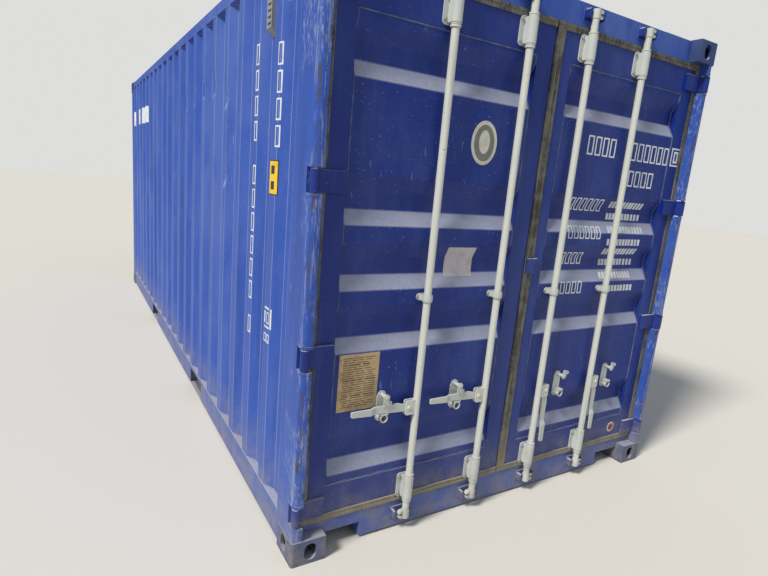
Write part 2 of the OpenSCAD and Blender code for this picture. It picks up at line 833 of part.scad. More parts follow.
module hinge_blade() {
    y = -door_face - gasket_t - 1;
    difference() {
        union() {
            translate([axis_x, -axis_y]) circle(knuckle_r);
            polygon([[axis_x + knuckle_r, -axis_y], [axis_x - knuckle_r, -axis_y],
                [axis_x - knuckle_r - 6, y - blade_t], [axis_x - knuckle_r - 6, y],
                [axis_x + 2, y], [axis_x + knuckle_r, -axis_y + 8]]);
            translate([half_w - blade_end, y - blade_t])
                square([blade_end - hinge_in - knuckle_r, blade_t]);
            translate([half_w - blade_end, y - over])
                square([leaf_x - gasket_lap - 2 - half_w + blade_end, -door_face - y + over]);
        }
        translate([axis_x, -axis_y]) circle(hinge_pin_r + 0.4);
    }
}

module leaf_hinge_blades() {
    for (z = hinge_z) upright(z - blade_h / 2, z + blade_h / 2) hinge_blade();
}

// Bearing for a rod at x: a tube on a rounded foot, seated at depth y.
module bearing(x, z, h, w, y) {
    r = bearing_r;
    round_r = min(16, h / 2 - 1);
    neck = min(8, h / 6);
    translate([x, 0, z]) difference() {
        union() {
            translate([0, -y, 0]) rotate([90, 0, 0]) linear_extrude(bearing_foot) {
                square([w, h - 2 * round_r], center = true);
                square([w - 2 * round_r, h], center = true);
                for (i = [-1, 1], j = [-1, 1])
                    translate([i * (w / 2 - round_r), j * (h / 2 - round_r)]) circle(round_r);
            }
            translate([0, -rod_y, 0]) {
                cylinder(r = r, h = h - 2 * neck, center = true);
                cylinder(r = r - 2, h = h, center = true);
            }
            upright(neck - h / 2, h / 2 - neck) translate([-r, -rod_y]) square([2 * r, rod_y - y]);
        }
        translate([0, -rod_y, 0]) cylinder(r = rod_r + rod_clear, h = h + 2 * over, center = true);
    }
}

module leaf_bearings() {
    for (x = [rod_near, rod_far]) {
        for (z = bearing_z) bearing(x, z, bearing_h, bearing_w, door_face);
        bearing(x, guide_z, guide_h, guide_w, panel_y);
    }
}

// Catch of a handle: a rounded foot, the ledge that the bar lies on, a cup
// under it and the post of the hasp.
module catch(x, z) {
    front = rod_y + handle_t / 2 + 1;
    ledge = -ledge_down - catch_ledge / 2;
    low = ledge - cup_d / 2;
    translate([x + catch_out, -panel_y, z]) rotate([90, 0, 0]) {
        linear_extrude(5) difference() {
            union() {
                translate([-catch_w / 2, low]) square([catch_w, hasp_up - low - 4]);
                translate([0, low]) circle(catch_w / 2);
                translate([0, hasp_up - 4]) circle(catch_w / 2 - 4);
                translate([-catch_w / 2 + 4, hasp_up - 10]) square([catch_w - 8, 6]);
            }
            translate([0, low]) circle(cup_d / 2 - 5);
        }
        linear_extrude(front - panel_y) difference() {
            union() {
                translate([-hasp_w / 2, ledge - catch_ledge / 2]) square([hasp_w, catch_ledge]);
                translate([0, low]) circle(cup_d / 2);
            }
            translate([0, low]) circle(cup_d / 2 - 5);
        }
        translate([0, hasp_up, 0]) {
            cylinder(r = boss_r, h = hasp_y - panel_y - 0.5);
            cylinder(r = 6, h = hasp_y - panel_y + hasp_t + 0.5);
            translate([0, 0, hasp_y - panel_y + hasp_t + 0.5]) cylinder(r1 = 10, r2 = 7, h = 4);
        }
    }
}

module leaf_catches(z) { for (x = [rod_near, rod_far]) catch(x, z); }

module data_plate() {
    z = big_low_z + (panel_big - plate_h) / 2 + 48;
    color("#b39a6b") on_side(-1)
        block([plate_x, -panel_y - plate_t, z], [plate_x + plate_w, -panel_y, z + plate_h]);
}

// Cam at one end of a rod: a boss, and a claw of two fingers on the outer side.
module cam(z) {
    r = cam_h / 2;
    hole = cam_mouth * 0.6;
    translate([0, 0, z]) {
        cylinder(r = cam_boss, h = cam_h, center = true);
        intersection() {
            upright(-cam_h, cam_h) {
                translate([0, -finger_w / 2]) square([finger_l - finger_w / 2, finger_w]);
                translate([finger_l - finger_w / 2, 0]) circle(d = finger_w);
            }
            rotate([90, 0, 0]) linear_extrude(2 * finger_w, center = true) difference() {
                union() {
                    translate([finger_l - r, 0]) circle(r);
                    translate([0, -r]) square([finger_l - r, cam_h]);
                }
                translate([cam_boss + hole + 2, 0]) circle(hole);
                translate([cam_boss + hole + 2, -cam_mouth / 2]) square([finger_l, cam_mouth]);
            }
        }
    }
}

// Height of the handles on the side given by s.
function handle_z(s) = s < 0 ? handle_left : handle_right;

// Hub that holds a handle beside the rod.
module hub(z) {
    cheek = handle_t / 2 + cheek_gap;
    x1 = pivot_out + handle_h / 2 + 2;
    y = rod_y - handle_y;
    for (s = [-1, 1]) translate([0, y + s * (cheek + hub_t / 2), z]) rotate([90, 0, 0])
        translate([0, 0, -hub_t / 2]) linear_extrude(hub_t) difference() {
            union() {
                translate([rod_r * 0.5, -hub_h / 2]) square([x1 - rod_r * 0.5 - 10, hub_h]);
                translate([rod_r * 0.5, -hub_h / 2 + 10]) square([x1 - rod_r * 0.5, hub_h - 20]);
                for (c = [-1, 1]) translate([x1 - 10, c * (hub_h / 2 - 10)]) circle(10);
            }
            translate([pivot_out, 0]) circle(pivot_r);
        }
    translate([rod_r * 0.5, y - cheek - hub_t, z - hub_h / 2])
        cube([rod_r * 0.5 + 5, 2 * (cheek + hub_t), hub_h]);
    translate([pivot_out, y, z]) rotate([90, 0, 0]) {
        cylinder(r = pivot_r, h = 2 * (cheek + hub_t), center = true);
        translate([0, 0, cheek + hub_t]) cylinder(r1 = pivot_r + 3.5, r2 = pivot_r, h = 5);
    }
}

// Lock rod with its collars, cams and hub, made about its own axis.
module rod(hub_z) {
    cylinder_z(rod_r, cam_z[0], cam_z[1]);
    for (z = bearing_z, s = [-1, 1])
        cylinder_z(rod_r + collar_over, z + s * (bearing_h / 2 + collar_gap + collar_h / 2) - collar_h / 2,
            z + s * (bearing_h / 2 + collar_gap + collar_h / 2) + collar_h / 2);
    for (z = cam_z) cam(z);
    hub(hub_z);
}

module cylinder_z(r, z0, z1) { translate([0, 0, z0]) cylinder(r = r, h = z1 - z0); }

module lock_rod(s, x) { color(pale) on_side(s) translate([x, -rod_y, 0]) rod(handle_z(s)); }

// Handle lying level, its pivot at the origin, reaching along +X. Its side and
// its top outline are cut out of each other.
module handle_bar() {
    t = handle_t / 2;
    h = handle_h / 2;
    top = handle_rise + h;
    bend = grip_from + 24;
    intersection() {
        upright(-2 * handle_h, 2 * handle_h) polygon([
            [-h - over, -t], [grip_from, -t], [bend, -t - grip_out], [handle_l, -t - grip_out],
            [handle_l, t - grip_out], [bend + 3, t - grip_out], [grip_from + 3, t], [-h - over, t]]);
        rotate([90, 0, 0]) linear_extrude(4 * (handle_t + grip_out), center = true) difference() {
            union() {
                circle(h);
                polygon([[0, -h], [26, -h], [handle_l - 4, top - grip_h], [handle_l, top - grip_h + 4],
                    [handle_l, top - 4], [handle_l - 4, top], [60, top], [22, h], [0, h]]);
            }
            circle(pivot_r + pivot_clear);
        }
    }
}

// The handles of the left leaf lie in their catches, those of the right leaf hang.
module handle(s, x, hangs) {
    color(pale) on_side(s) translate([x + pivot_out, -handle_y, handle_z(s)])
        rotate([0, hangs ? 90 : 0, 0]) handle_bar();
}

// Hasp on the post of a catch: a plate with a lobe for a seal on the rod's
// side. It hangs down to the top of the bar or is turned up.
module hasp(s, x, up) {
    drop = hasp_up - handle_rise - handle_h / 2 - hasp_gap;
    web = hasp_w * 0.35;
    lobe = hasp_w * 0.24;
    hole = hasp_w * 0.1;
    color(pale) on_side(s) translate([x + catch_out, -hasp_y, handle_z(s) + hasp_up])
        rotate([0, up ? -hasp_turn : 0, 0]) rotate([90, 0, 0]) linear_extrude(hasp_t) difference() {
            union() {
                circle(hasp_w * 0.4);
                translate([-web, -drop]) square([2 * web, drop]);
                translate([-web - lobe / 2, -drop]) square([web, 2 * lobe]);
                translate([-web - lobe / 2, lobe - drop]) circle(lobe);
            }
            circle(6 + pivot_clear);
            translate([-web - lobe / 2, lobe - drop]) circle(hole);
            translate([web / 3, 2 * hole - drop]) circle(hole - 0.5);
        }
}

module door_left_frame() { color(blue) on_side(-1) leaf_frame(left_edge); }
module door_left_panel() { color(blue) on_side(-1) leaf_panel(left_edge); }
module door_left_gasket() { color("#7d7668") on_side(-1) leaf_gasket(left_edge, left_edge); }
module door_left_hinge_blades() { color(blue) on_side(-1) leaf_hinge_blades(); }
module door_left_rod_bearings() { color(pale) on_side(-1) leaf_bearings(); }
module door_left_catches() { color(pale) on_side(-1) leaf_catches(handle_left); }
module door_right_frame() {
    color(blue) {
        leaf_frame(right_edge);
        lap_plate();
    }
}
module door_right_panel() { color(blue) leaf_panel(right_edge); }
module door_right_gasket() { color("#7d7668") leaf_gasket(right_edge, -gasket_mid); }
module door_right_hinge_blades() { color(blue) leaf_hinge_blades(); }
module door_right_rod_bearings() { color(pale) leaf_bearings(); }
module door_right_catches() { color(pale) leaf_catches(handle_right); }
module lock_rod_1() { lock_rod(-1, rod_far); }
module lock_rod_2() { lock_rod(-1, rod_near); }
module lock_rod_3() { lock_rod(1, rod_near); }
module lock_rod_4() { lock_rod(1, rod_far); }
module handle_1() { handle(-1, rod_far, false); }
module handle_2() { handle(-1, rod_near, false); }
module handle_3() { handle(1, rod_near, true); }
module handle_4() { handle(1, rod_far, true); }
module hasp_1() { hasp(-1, rod_far, false); }
module hasp_2() { hasp(-1, rod_near, false); }
module hasp_3() { hasp(1, rod_near, true); }
module hasp_4() { hasp(1, rod_far, true); }

corner_fittings_bottom();
corner_fittings_top();
rear_posts();
front_posts();
bottom_side_rails();
top_side_rails();
door_sill();
door_header();
front_sill();
front_header();
cross_members();
fork_pockets();
floor();
side_wall_left();
side_wall_right();
front_wall();
roof();
roof_corner_plates();
vents();
cam_keepers();
hinge_lugs();
hinge_pins();
door_left_frame();
door_left_panel();
door_left_gasket();
door_left_hinge_blades();
door_left_rod_bearings();
door_left_catches();
data_plate();
door_right_frame();
door_right_panel();
door_right_gasket();
door_right_hinge_blades();
door_right_rod_bearings();
door_right_catches();
lock_rod_1();
lock_rod_2();
lock_rod_3();
lock_rod_4();
handle_1();
handle_2();
handle_3();
handle_4();
hasp_1();
hasp_2();
hasp_3();
hasp_4();
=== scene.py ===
"""Paint, marks, fastenings and wear of a 20 ft cargo container."""
import json
import math
import random

import bmesh
import bpy
from mathutils import Matrix, Vector
from mathutils.bvhtree import BVHTree


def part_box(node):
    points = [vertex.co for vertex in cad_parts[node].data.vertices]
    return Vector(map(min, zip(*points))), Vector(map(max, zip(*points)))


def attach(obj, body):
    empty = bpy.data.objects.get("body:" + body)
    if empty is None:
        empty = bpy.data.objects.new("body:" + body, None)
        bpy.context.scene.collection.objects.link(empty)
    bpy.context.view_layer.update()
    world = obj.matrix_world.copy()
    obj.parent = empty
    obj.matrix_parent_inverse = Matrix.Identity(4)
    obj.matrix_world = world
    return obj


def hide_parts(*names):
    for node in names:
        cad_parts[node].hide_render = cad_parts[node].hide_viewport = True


bl_info = {
    "name": "Cargo Container Dressing",
    "version": (1, 0, 0),
    "blender": (4, 5, 0),
    "location": "3D View > Sidebar > Container",
    "description": "Gives a cargo container its paint, marks, fastenings and wear",
    "category": "Object",
}

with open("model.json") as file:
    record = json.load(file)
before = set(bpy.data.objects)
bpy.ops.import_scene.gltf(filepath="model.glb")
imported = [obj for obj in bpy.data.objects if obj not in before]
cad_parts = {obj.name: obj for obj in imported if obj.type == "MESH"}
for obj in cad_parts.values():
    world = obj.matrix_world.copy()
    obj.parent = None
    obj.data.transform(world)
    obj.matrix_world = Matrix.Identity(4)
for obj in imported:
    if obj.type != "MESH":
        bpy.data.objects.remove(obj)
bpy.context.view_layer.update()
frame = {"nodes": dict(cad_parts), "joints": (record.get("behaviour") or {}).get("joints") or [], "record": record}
NODES = frame["nodes"]
SLOT_OF = {part["node"]: part["material_slot"] for part in frame["record"]["subparts"]}
BODY_OF = {node: body for body, nodes in frame["record"]["behaviour"]["bodies"].items() for node in nodes}


def seen(red, green, blue):
    """The linear colour that shows as these 0 to 255 screen values."""
    return tuple((c / 255 / 12.92) if c <= 10 else ((c / 255 + 0.055) / 1.055) ** 2.4
                 for c in (red, green, blue))


# Sizes and colours that a user may change

def colour_choice(name, description, *screen):
    return bpy.props.FloatVectorProperty(name=name, description=description, subtype="COLOR",
                                         size=3, min=0, max=1, default=seen(*screen))


def length_choice(name, description, least, most, default):
    return bpy.props.FloatProperty(name=name, description=description, unit="LENGTH",
                                   min=least, max=most, default=default)


class ContainerPaint(bpy.types.PropertyGroup):
    wall_colour: colour_choice("Wall paint", "Paint of the walls, posts and rails", 42, 78, 164)
    # The door paint is a darker copy of the wall paint: painted shade on the door end.
    door_colour: colour_choice("Door paint", "Paint of the door leaves", 8, 39, 122)
    gear_colour: colour_choice("Gear finish", "Finish of the handles, catches and bearings", 184, 189, 186)
    rod_colour: colour_choice("Rod finish", "Finish of the lock rods", 194, 197, 190)
    rubber_colour: colour_choice("Gasket", "Rubber of the door gaskets", 50, 50, 50)
    # Dust on upward faces; its pale blue-grey also stands for a painted top light.
    dust_and_top_light_colour: colour_choice("Dust", "Dust on ledges", 172, 176, 192)
    sand_colour: colour_choice("Sand", "Sand splashed on the lower edges", 140, 134, 126)
    rust_colour: colour_choice("Rust", "Rust at chips and edges", 82, 62, 54)
    mark_colour: colour_choice("Marks", "Paint of the marks", 214, 218, 222)


class ContainerSizes(bpy.types.PropertyGroup):
    edge_round: length_choice("Edge rounding", "Width of the rounded edges of rolled steel",
                              0.0005, 0.006, 0.003)
    fold_round: length_choice("Fold rounding", "Width of the bends of the folded sheets",
                              0.002, 0.02, 0.006)
    bolt_width: length_choice("Bolt head", "Width of the bolt heads on the rod guides",
                              0.006, 0.02, 0.013)
    glyph_height: length_choice("Mark height", "Height of the blocks in the large row of marks",
                                0.04, 0.12, 0.098)
    film: length_choice("Film", "Thickness of stickers and painted marks", 0.0002, 0.002, 0.0008)
    bead: length_choice("Weld bead", "Width of the weld beads", 0.003, 0.012, 0.006)


def sizes():
    return bpy.context.scene.container_sizes


def paint():
    return bpy.context.scene.container_paint


# Shader maths

class Value:
    """A shader socket on which Python arithmetic adds Math nodes."""

    def __init__(self, net, socket):
        self.net = net
        self.socket = socket

    def math(self, operation, *others, first=None):
        values = [self if first is None else first, *others]
        return self.net.node("ShaderNodeMath", {"operation": operation}, dict(enumerate(values)))

    def __add__(self, other):
        return self.math("ADD", other)

    def __sub__(self, other):
        return self.math("SUBTRACT", other)

    def __mul__(self, other):
        return self.math("MULTIPLY", other)

    def __rsub__(self, other):
        return self.math("SUBTRACT", self, first=other)

    def __abs__(self):
        return self.math("ABSOLUTE")

    __radd__ = __add__
    __rmul__ = __mul__

    def least(self, other):
        return self.math("MINIMUM", other)

    def most(self, other):
        return self.math("MAXIMUM", other)

    def between(self, low, high):
        """0 at low, 1 at high, with a smooth step. low may be the larger."""
        return self.net.node("ShaderNodeMapRange", {"interpolation_type": "SMOOTHSTEP"},
                             {"Value": self, "From Min": low, "From Max": high})


class Net:
    """The node tree of one material."""

    def __init__(self, name):
        self.material = bpy.data.materials.new(name)
        self.material.use_nodes = True
        self.tree = self.material.node_tree
        self.shader = self.tree.nodes["Principled BSDF"]
        self.coords = self.tree.nodes.new("ShaderNodeTexCoord")
        self.place = Value(self, self.coords.outputs["Object"])
        self.facing = self.split(Value(self, self.coords.outputs["Normal"]))
        self.x, self.y, self.z = self.split(self.place)

    def socket(self, node, key):
        if isinstance(key, int):
            return node.inputs[key]
        for socket in node.inputs:
            if socket.identifier == key:
                return socket
        return node.inputs[key]

    def node(self, kind, settings, inputs, output=0):
        node = self.tree.nodes.new(kind)
        for key, value in settings.items():
            setattr(node, key, value)
        for key, value in inputs.items():
            self.put(self.socket(node, key), value)
        if isinstance(output, str):
            for socket in node.outputs:
                if socket.identifier == output:
                    return Value(self, socket)
        return Value(self, node.outputs[output])

    def put(self, socket, value):
        if isinstance(value, Value):
            self.tree.links.new(value.socket, socket)
        elif socket.type == "RGBA":
            socket.default_value = (*value[:3], 1)
        else:
            socket.default_value = value

    def split(self, vector):
        node = self.tree.nodes.new("ShaderNodeSeparateXYZ")
        self.tree.links.new(vector.socket, node.inputs[0])
        return [Value(self, socket) for socket in node.outputs]

    def stretched(self, x, y, z):
        """The place with each axis scaled, for patterns that run one way."""
        return self.node("ShaderNodeVectorMath", {"operation": "MULTIPLY"}, {0: self.place, 1: (x, y, z)})

    def noise(self, scale, detail=3.0, rough=0.55, at=None, twist=0.0):
        return self.node("ShaderNodeTexNoise", {},
                         {"Vector": at or self.place, "Scale": scale, "Detail": detail,
                          "Roughness": rough, "Distortion": twist})

    def cells(self, scale, at=None):
        return self.node("ShaderNodeTexVoronoi", {}, {"Vector": at or self.place, "Scale": scale})

    def over(self, mask, under, top):
        """Colour top over colour under where mask is 1."""
        return self.node("ShaderNodeMix", {"data_type": "RGBA"},
                         {"Factor_Float": mask, "A_Color": under, "B_Color": top}, "Result_Color")

    def finish(self, colour, rough, metal=0.0, height=None, depth=0.001):
        self.put(self.shader.inputs["Base Color"], colour)
        self.put(self.shader.inputs["Roughness"], rough)
        self.put(self.shader.inputs["Metallic"], metal)
        if height is not None:
            bump = self.node("ShaderNodeBump", {}, {"Strength": 1.0, "Distance": depth, "Height": height})
            self.put(self.shader.inputs["Normal"], bump)
        return self.material


def scaled(colour, factor):
    return tuple(c * factor for c in colour)


# Materials

def steel_paint(name, colour, chalk, dust, scuffs, rusted=None, rust_colour=None, rubbed=None,
                bends=None, dust_and_top_light_colour=None):
    """Weathered blue paint: chalky patches, rain runs, dust on ledges that is partly a painted top
    light, sand low down, chips, and pale lines on the bends that are partly a painted highlight.

    chalk, dust and scuffs say how strong each is. rusted and rubbed are functions that give more
    rust and more pale scuffs, rubbed on the posts also a painted highlight, and bends is the axis
    along which the sheet is folded.
    """
    net = Net(name)
    p = paint()
    broad = net.noise(1.1, 3, 0.5, net.stretched(1.0, 1.0, 0.5))
    cloud = net.noise(6.0, 6, 0.62, net.stretched(1.0, 1.0, 0.55))
    fine = net.noise(70.0, 4, 0.6)
    grit = net.noise(260.0, 2, 0.5)
    runs = net.noise(3.0, 5, 0.6, net.stretched(4, 4, 0.35))
    up = net.facing[2]
    faded = (broad * 0.55 + cloud * 0.45).between(0.40, 0.66) * chalk
    pale = tuple(0.62 * c + 0.38 * g for c, g in zip(colour, seen(122, 140, 186)))
    coat = net.over(faded, colour, pale)
    coat = net.over(runs.between(0.50, 0.74) * 0.40, coat, scaled(colour, 0.50))
    coat = net.over(runs.between(0.46, 0.22) * 0.22, coat, pale)
    # Pale lines on the bends, set by the facing of the faces: partly worn paint, partly a painted highlight.
    if bends is not None:
        tilt = abs(net.facing[bends])
        line = tilt.between(0.08, 0.16) * tilt.between(0.38, 0.30)
        coat = net.over(line * (0.20 + 0.35 * cloud), coat, seen(146, 160, 196))
    # Upward faces paler: dust, and partly a painted top light.
    dust_and_top_light = (up.between(0.12, 0.62) * (0.60 + 0.40 * fine) * dust).least(0.9)
    low = net.z.between(0.46, 0.02) * (0.30 + 0.70 * net.noise(9.0, 6, 0.7).between(0.38, 0.68))
    splash = (low * 0.74).least(0.58)
    coat = net.over(dust_and_top_light, coat, dust_and_top_light_colour or p.dust_and_top_light_colour)
    coat = net.over(splash, coat, p.sand_colour)
    scratches = net.noise(4.0, 3, 0.5, net.stretched(3.0, 3.0, 30), 0.35).between(0.715, 0.735)
    patch = net.noise(1.7, 2).between(0.56, 0.66)
    chips = grit.between(0.705, 0.735) * cloud.between(0.50, 0.62)
    scrapes = net.noise(4.0, 3, 0.5, net.stretched(26, 26, 2.4), 0.35).between(0.700, 0.725)
    patch_low = net.noise(1.3, 2, 0.5, net.stretched(1.0, 1.0, 1.6)).between(0.50, 0.60)
    specks = net.noise(130.0, 1, 0.4).between(0.745, 0.765) * fine.between(0.30, 0.50)
    scraped = (scratches * patch * 0.55).most(scrapes * patch_low * 0.6)
    scuff_and_highlight = (scraped.most(chips * 0.8).most(specks * 0.8) * scuffs).least(0.7)
    # On the posts, rubbed adds a pale painted highlight beside the outer bend to the scuffs.
    if rubbed:
        scuff_and_highlight = scuff_and_highlight.most(rubbed(net))
    coat = net.over(scuff_and_highlight, coat, seen(142, 152, 178))
    spots = net.noise(46.0, 3, 0.6).between(0.685, 0.725) * net.noise(2.6, 2).between(0.52, 0.64)
    rust = spots * 0.8 * scuffs
    if rusted:
        rust = rust.most(rusted(net))
    coat = net.over(rust, coat, rust_colour or p.rust_colour)
    rough = 0.44 + 0.25 * faded + 0.35 * dust_and_top_light.most(splash) + 0.30 * rust + 0.10 * fine
    net.shader.inputs["Specular IOR Level"].default_value = 0.35
    height = fine * 0.15 + cloud * 0.5 - rust * 0.5 - scuff_and_highlight * 0.2
    return net.finish(coat, rough.least(0.95), height=height, depth=0.0011)


def post_lip(net):
    """Rust where gear rubs on the inner lip and the outer bend of the door posts."""
    low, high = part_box("rear_posts")
    lip = abs(net.x).between(1.186, 1.176) * net.y.between(low.y + 0.017, low.y + 0.009)
    corner = high.x - low.y
    bend = (abs(net.x) - net.y).between(corner - 0.021, corner - 0.014)
    scraped = net.noise(3.0, 6, 0.75, net.stretched(14, 14, 2.2)).between(0.50, 0.60)
    knocks = net.noise(17.0, 5, 0.7).between(0.50, 0.66)
    return (lip * knocks).most(bend * scraped).least(0.85)


def post_rubs_and_highlight(net):
    """Pale scuffs in patches on the door posts, and a pale painted highlight in a line beside the outer bend."""
    low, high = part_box("rear_posts")
    inset = high.x - low.y - (abs(net.x) - net.y)
    # The band beside the outer bend where the painted highlight lies.
    beside = inset.between(0.014, 0.022) * inset.between(0.046, 0.034)
    line = net.noise(3.0, 5, 0.7, net.stretched(18, 18, 1.4)).between(0.49, 0.58)
    streaks = net.noise(5.0, 5, 0.7, net.stretched(22, 22, 5), 0.3).between(0.50, 0.60)
    patch = net.noise(2.3, 3, 0.6, net.stretched(1, 1, 1.3)).between(0.50, 0.58)
    return (beside * line * 0.6).most(streaks * patch * 0.6)


def fitting_edges(net):
    """Rust and bare steel round the holes of the corner fittings."""
    slot_x, slot_y = 1.1295, 2.9265
    half_height, fitting_height = 1.2955, 1.2365
    along = abs(net.y) - slot_y
    across = abs(net.x) - slot_x
    middle = abs(abs(net.z - half_height) - fitting_height)
    slot = (along * along + across * across * 3.0).between(0.0075, 0.0030)
    knocks = net.noise(26.0, 5, 0.7).between(0.47, 0.63)
    low = net.z.between(0.030, 0.004)
    return (slot.most(low) * knocks * (1.0 - 4.0 * middle) * 0.9).most(0.0)


def gear_finish(name, colour):
    """Pale galvanised and painted lock gear with grime runs, painted shade on its undersides and rust spots."""
    net = Net(name)
    p = paint()
    cloud = net.noise(9.0, 5, 0.6)
    fine = net.noise(85.0, 4, 0.6)
    grit = net.noise(300.0, 2)
    runs = net.noise(4.0, 4, 0.6, net.stretched(9, 9, 0.5))
    coat = net.over(cloud.between(0.42, 0.66) * 0.55, colour, scaled(colour, 0.92))
    coat = net.over(runs.between(0.55, 0.75) * 0.45, coat, seen(150, 150, 140))
    low = net.z.between(0.52, 0.05) * cloud.between(0.34, 0.66)
    coat = net.over(low * 0.5, coat, p.sand_colour)
    # Undersides darker: painted shade.
    under = net.facing[2].between(-0.3, -0.9)
    coat = net.over(under * 0.45, coat, seen(96, 92, 84))
    spots = net.noise(60.0, 4, 0.65).between(0.640, 0.690) * net.noise(5.0, 2).between(0.50, 0.62)
    coat = net.over(spots * 0.75, coat, p.rust_colour)
    chips = grit.between(0.70, 0.74) * cloud.between(0.5, 0.62)
    coat = net.over(chips * 0.6, coat, seen(120, 120, 116))
    rough = 0.44 + 0.22 * cloud + 0.25 * spots + 0.12 * fine
    height = fine * 0.35 + cloud * 0.5 - spots * 0.6
    return net.finish(coat, rough.least(0.92), height=height, depth=0.0007)


def rubber_finish(name):
    """Weathered rubber, grey where it is rubbed and khaki where dust sits in it, with paler upward faces from dust
    and a painted top light.
    """
    net = Net(name)
    p = paint()
    cloud = net.noise(14.0, 5, 0.65)
    fine = net.noise(120.0, 4, 0.6)
    ribs = net.noise(1.0, 3, 0.6, net.stretched(210, 210, 2.5))
    coat = net.over(cloud.between(0.38, 0.64) * 0.8, p.rubber_colour, seen(104, 102, 94))
    coat = net.over(ribs.between(0.50, 0.64) * 0.6, coat, seen(142, 138, 126))
    coat = net.over(ribs.between(0.46, 0.36) * 0.8, coat, seen(48, 47, 46))
    coat = net.over(fine.between(0.55, 0.68) * 0.5, coat, seen(132, 128, 116))
    low = net.z.between(0.60, 0.16)
    coat = net.over((low * 0.75 * (0.6 + 0.4 * cloud)).least(0.8), coat, seen(146, 139, 120))
    # Upward faces paler: dust and a painted top light.
    coat = net.over(net.facing[2].between(0.2, 0.9) * 0.7, coat, seen(178, 170, 148))
    coat = net.over(net.cells(90.0).between(0.10, 0.02) * 0.6, coat, seen(44, 43, 41))
    rough = 0.72 + 0.2 * fine
    return net.finish(coat, rough, height=fine * 0.4 + cloud * 0.3 + ribs * 0.8, depth=0.0012)


def plywood_finish(name):
    """Worn floor boards, with grain along the container and seams between the sheets."""
    net = Net(name)
    grain = net.noise(3.0, 6, 0.6, net.stretched(26, 1.2, 4), 0.6)
    wear = net.noise(2.0, 5, 0.6)
    strips, sheets, screws = 4.31, 0.4116, 3.33  # in one metre
    strip = abs((net.x * strips).math("FRACT") - 0.5).between(0.487, 0.497)
    seam = abs((net.y * sheets + 0.21).math("FRACT") - 0.5).between(0.4975, 0.4992)
    screw = net.node("ShaderNodeTexVoronoi", {}, {"Vector": net.stretched(strips, screws, 0.0), "Scale": 1.0,
                                                  "Randomness": 0.0}).between(0.030, 0.018)
    coat = net.over(grain.between(0.34, 0.66), seen(98, 66, 42), seen(140, 100, 66))
    coat = net.over(wear.between(0.45, 0.7) * 0.5, coat, seen(82, 70, 60))
    coat = net.over(strip * 0.45, coat, seen(58, 40, 28))
    coat = net.over(seam.most(screw), coat, seen(30, 26, 24))
    rough = 0.50 + 0.3 * wear
    height = grain * 0.5 - seam.most(strip * 0.4) * 1.0
    return net.finish(coat, rough, height=height, depth=0.0012)


def underbody_finish(name):
    """Dark waxy coating under the floor, with road dust."""
    net = Net(name)
    cloud = net.noise(7.0, 5, 0.65)
    fine = net.noise(90.0, 4, 0.6)
    coat = net.over(cloud.between(0.38, 0.66), seen(30, 36, 58), seen(52, 60, 88))
    dusty = net.facing[2].between(-0.2, 0.8) * 0.6 + cloud.between(0.5, 0.75) * 0.3
    coat = net.over(dusty.least(0.7), coat, seen(132, 122, 104))
    return net.finish(coat, 0.55 + 0.3 * cloud, height=fine * 0.5 + cloud, depth=0.0012)


def steel_finish(name, tint, spots_of):
    """Bare steel pins and bolts with brown spots."""
    net = Net(name)
    cloud = net.noise(30.0, 4, 0.6)
    fine = net.noise(200.0, 3, 0.6)
    rust = cloud.between(0.44, 0.62) * spots_of
    coat = net.over(rust, tint, paint().rust_colour)
    metal = 0.85 - 0.7 * rust
    return net.finish(coat, 0.38 + 0.4 * rust + 0.1 * fine, metal, fine - rust, 0.0004)


def vent_finish(name):
    """Grey moulded plastic, chalky and streaked."""
    net = Net(name)
    runs = net.noise(4.0, 4, 0.6, net.stretched(12, 12, 0.8))
    fine = net.noise(220.0, 3, 0.5)
    coat = net.over(runs.between(0.45, 0.7) * 0.6, seen(138, 141, 146), seen(104, 106, 110))
    # Upward faces paler in the dust colour: dust and a painted top light.
    coat = net.over(net.facing[2].between(0.3, 0.9) * 0.5, coat, paint().dust_and_top_light_colour)
    return net.finish(coat, 0.62 + 0.2 * fine, height=fine, depth=0.0003)


def plate_finish(name):
    """Tarnished data plate, brushed along its width and stained from the rivets."""
    net = Net(name)
    brushed = net.noise(6.0, 4, 0.6, net.stretched(1, 1, 90))
    stain = net.noise(11.0, 5, 0.65)
    fine = net.noise(140.0, 3)
    coat = net.over(brushed.between(0.35, 0.65), seen(172, 150, 114), seen(196, 174, 136))
    coat = net.over(stain.between(0.44, 0.66) * 0.6, coat, seen(136, 112, 82))
    coat = net.over(fine.between(0.62, 0.70) * 0.5, coat, seen(196, 186, 166))
    metal = 0.45 - 0.35 * stain.between(0.4, 0.7)
    return net.finish(coat, 0.46 + 0.25 * stain, metal, brushed * 0.4 + stain, 0.0004)


def film_finish(name, colour, shade, holes=0.5):
    """Sticker film or stencilled paint that has chipped and picked up dirt."""
    net = Net(name)
    cloud = net.noise(18.0, 5, 0.65)
    grit = net.noise(190.0, 3, 0.6)
    coat = net.over(cloud.between(0.40, 0.70) * 0.5, colour, shade)
    coat = net.over(grit.between(0.640, 0.700) * holes, coat, scaled(shade, 0.55))
    return net.finish(coat, 0.52 + 0.25 * cloud, height=grit * 0.5 + cloud, depth=0.0003)


def bead_finish(name):
    """Sealant in the seams of the doors, pale and cracked."""
    net = Net(name)
    cloud = net.noise(16.0, 5, 0.65)
    fine = net.noise(120.0, 4)
    coat = net.over(cloud.between(0.4, 0.65), seen(58, 72, 116), seen(86, 98, 134))
    coat = net.over(fine.between(0.60, 0.68) * 0.6, coat, seen(44, 50, 76))
    return net.finish(coat, 0.62 + 0.2 * fine, height=fine + cloud, depth=0.0006)


X_AXIS, Y_AXIS, Z_AXIS = range(3)
MATERIALS = {}


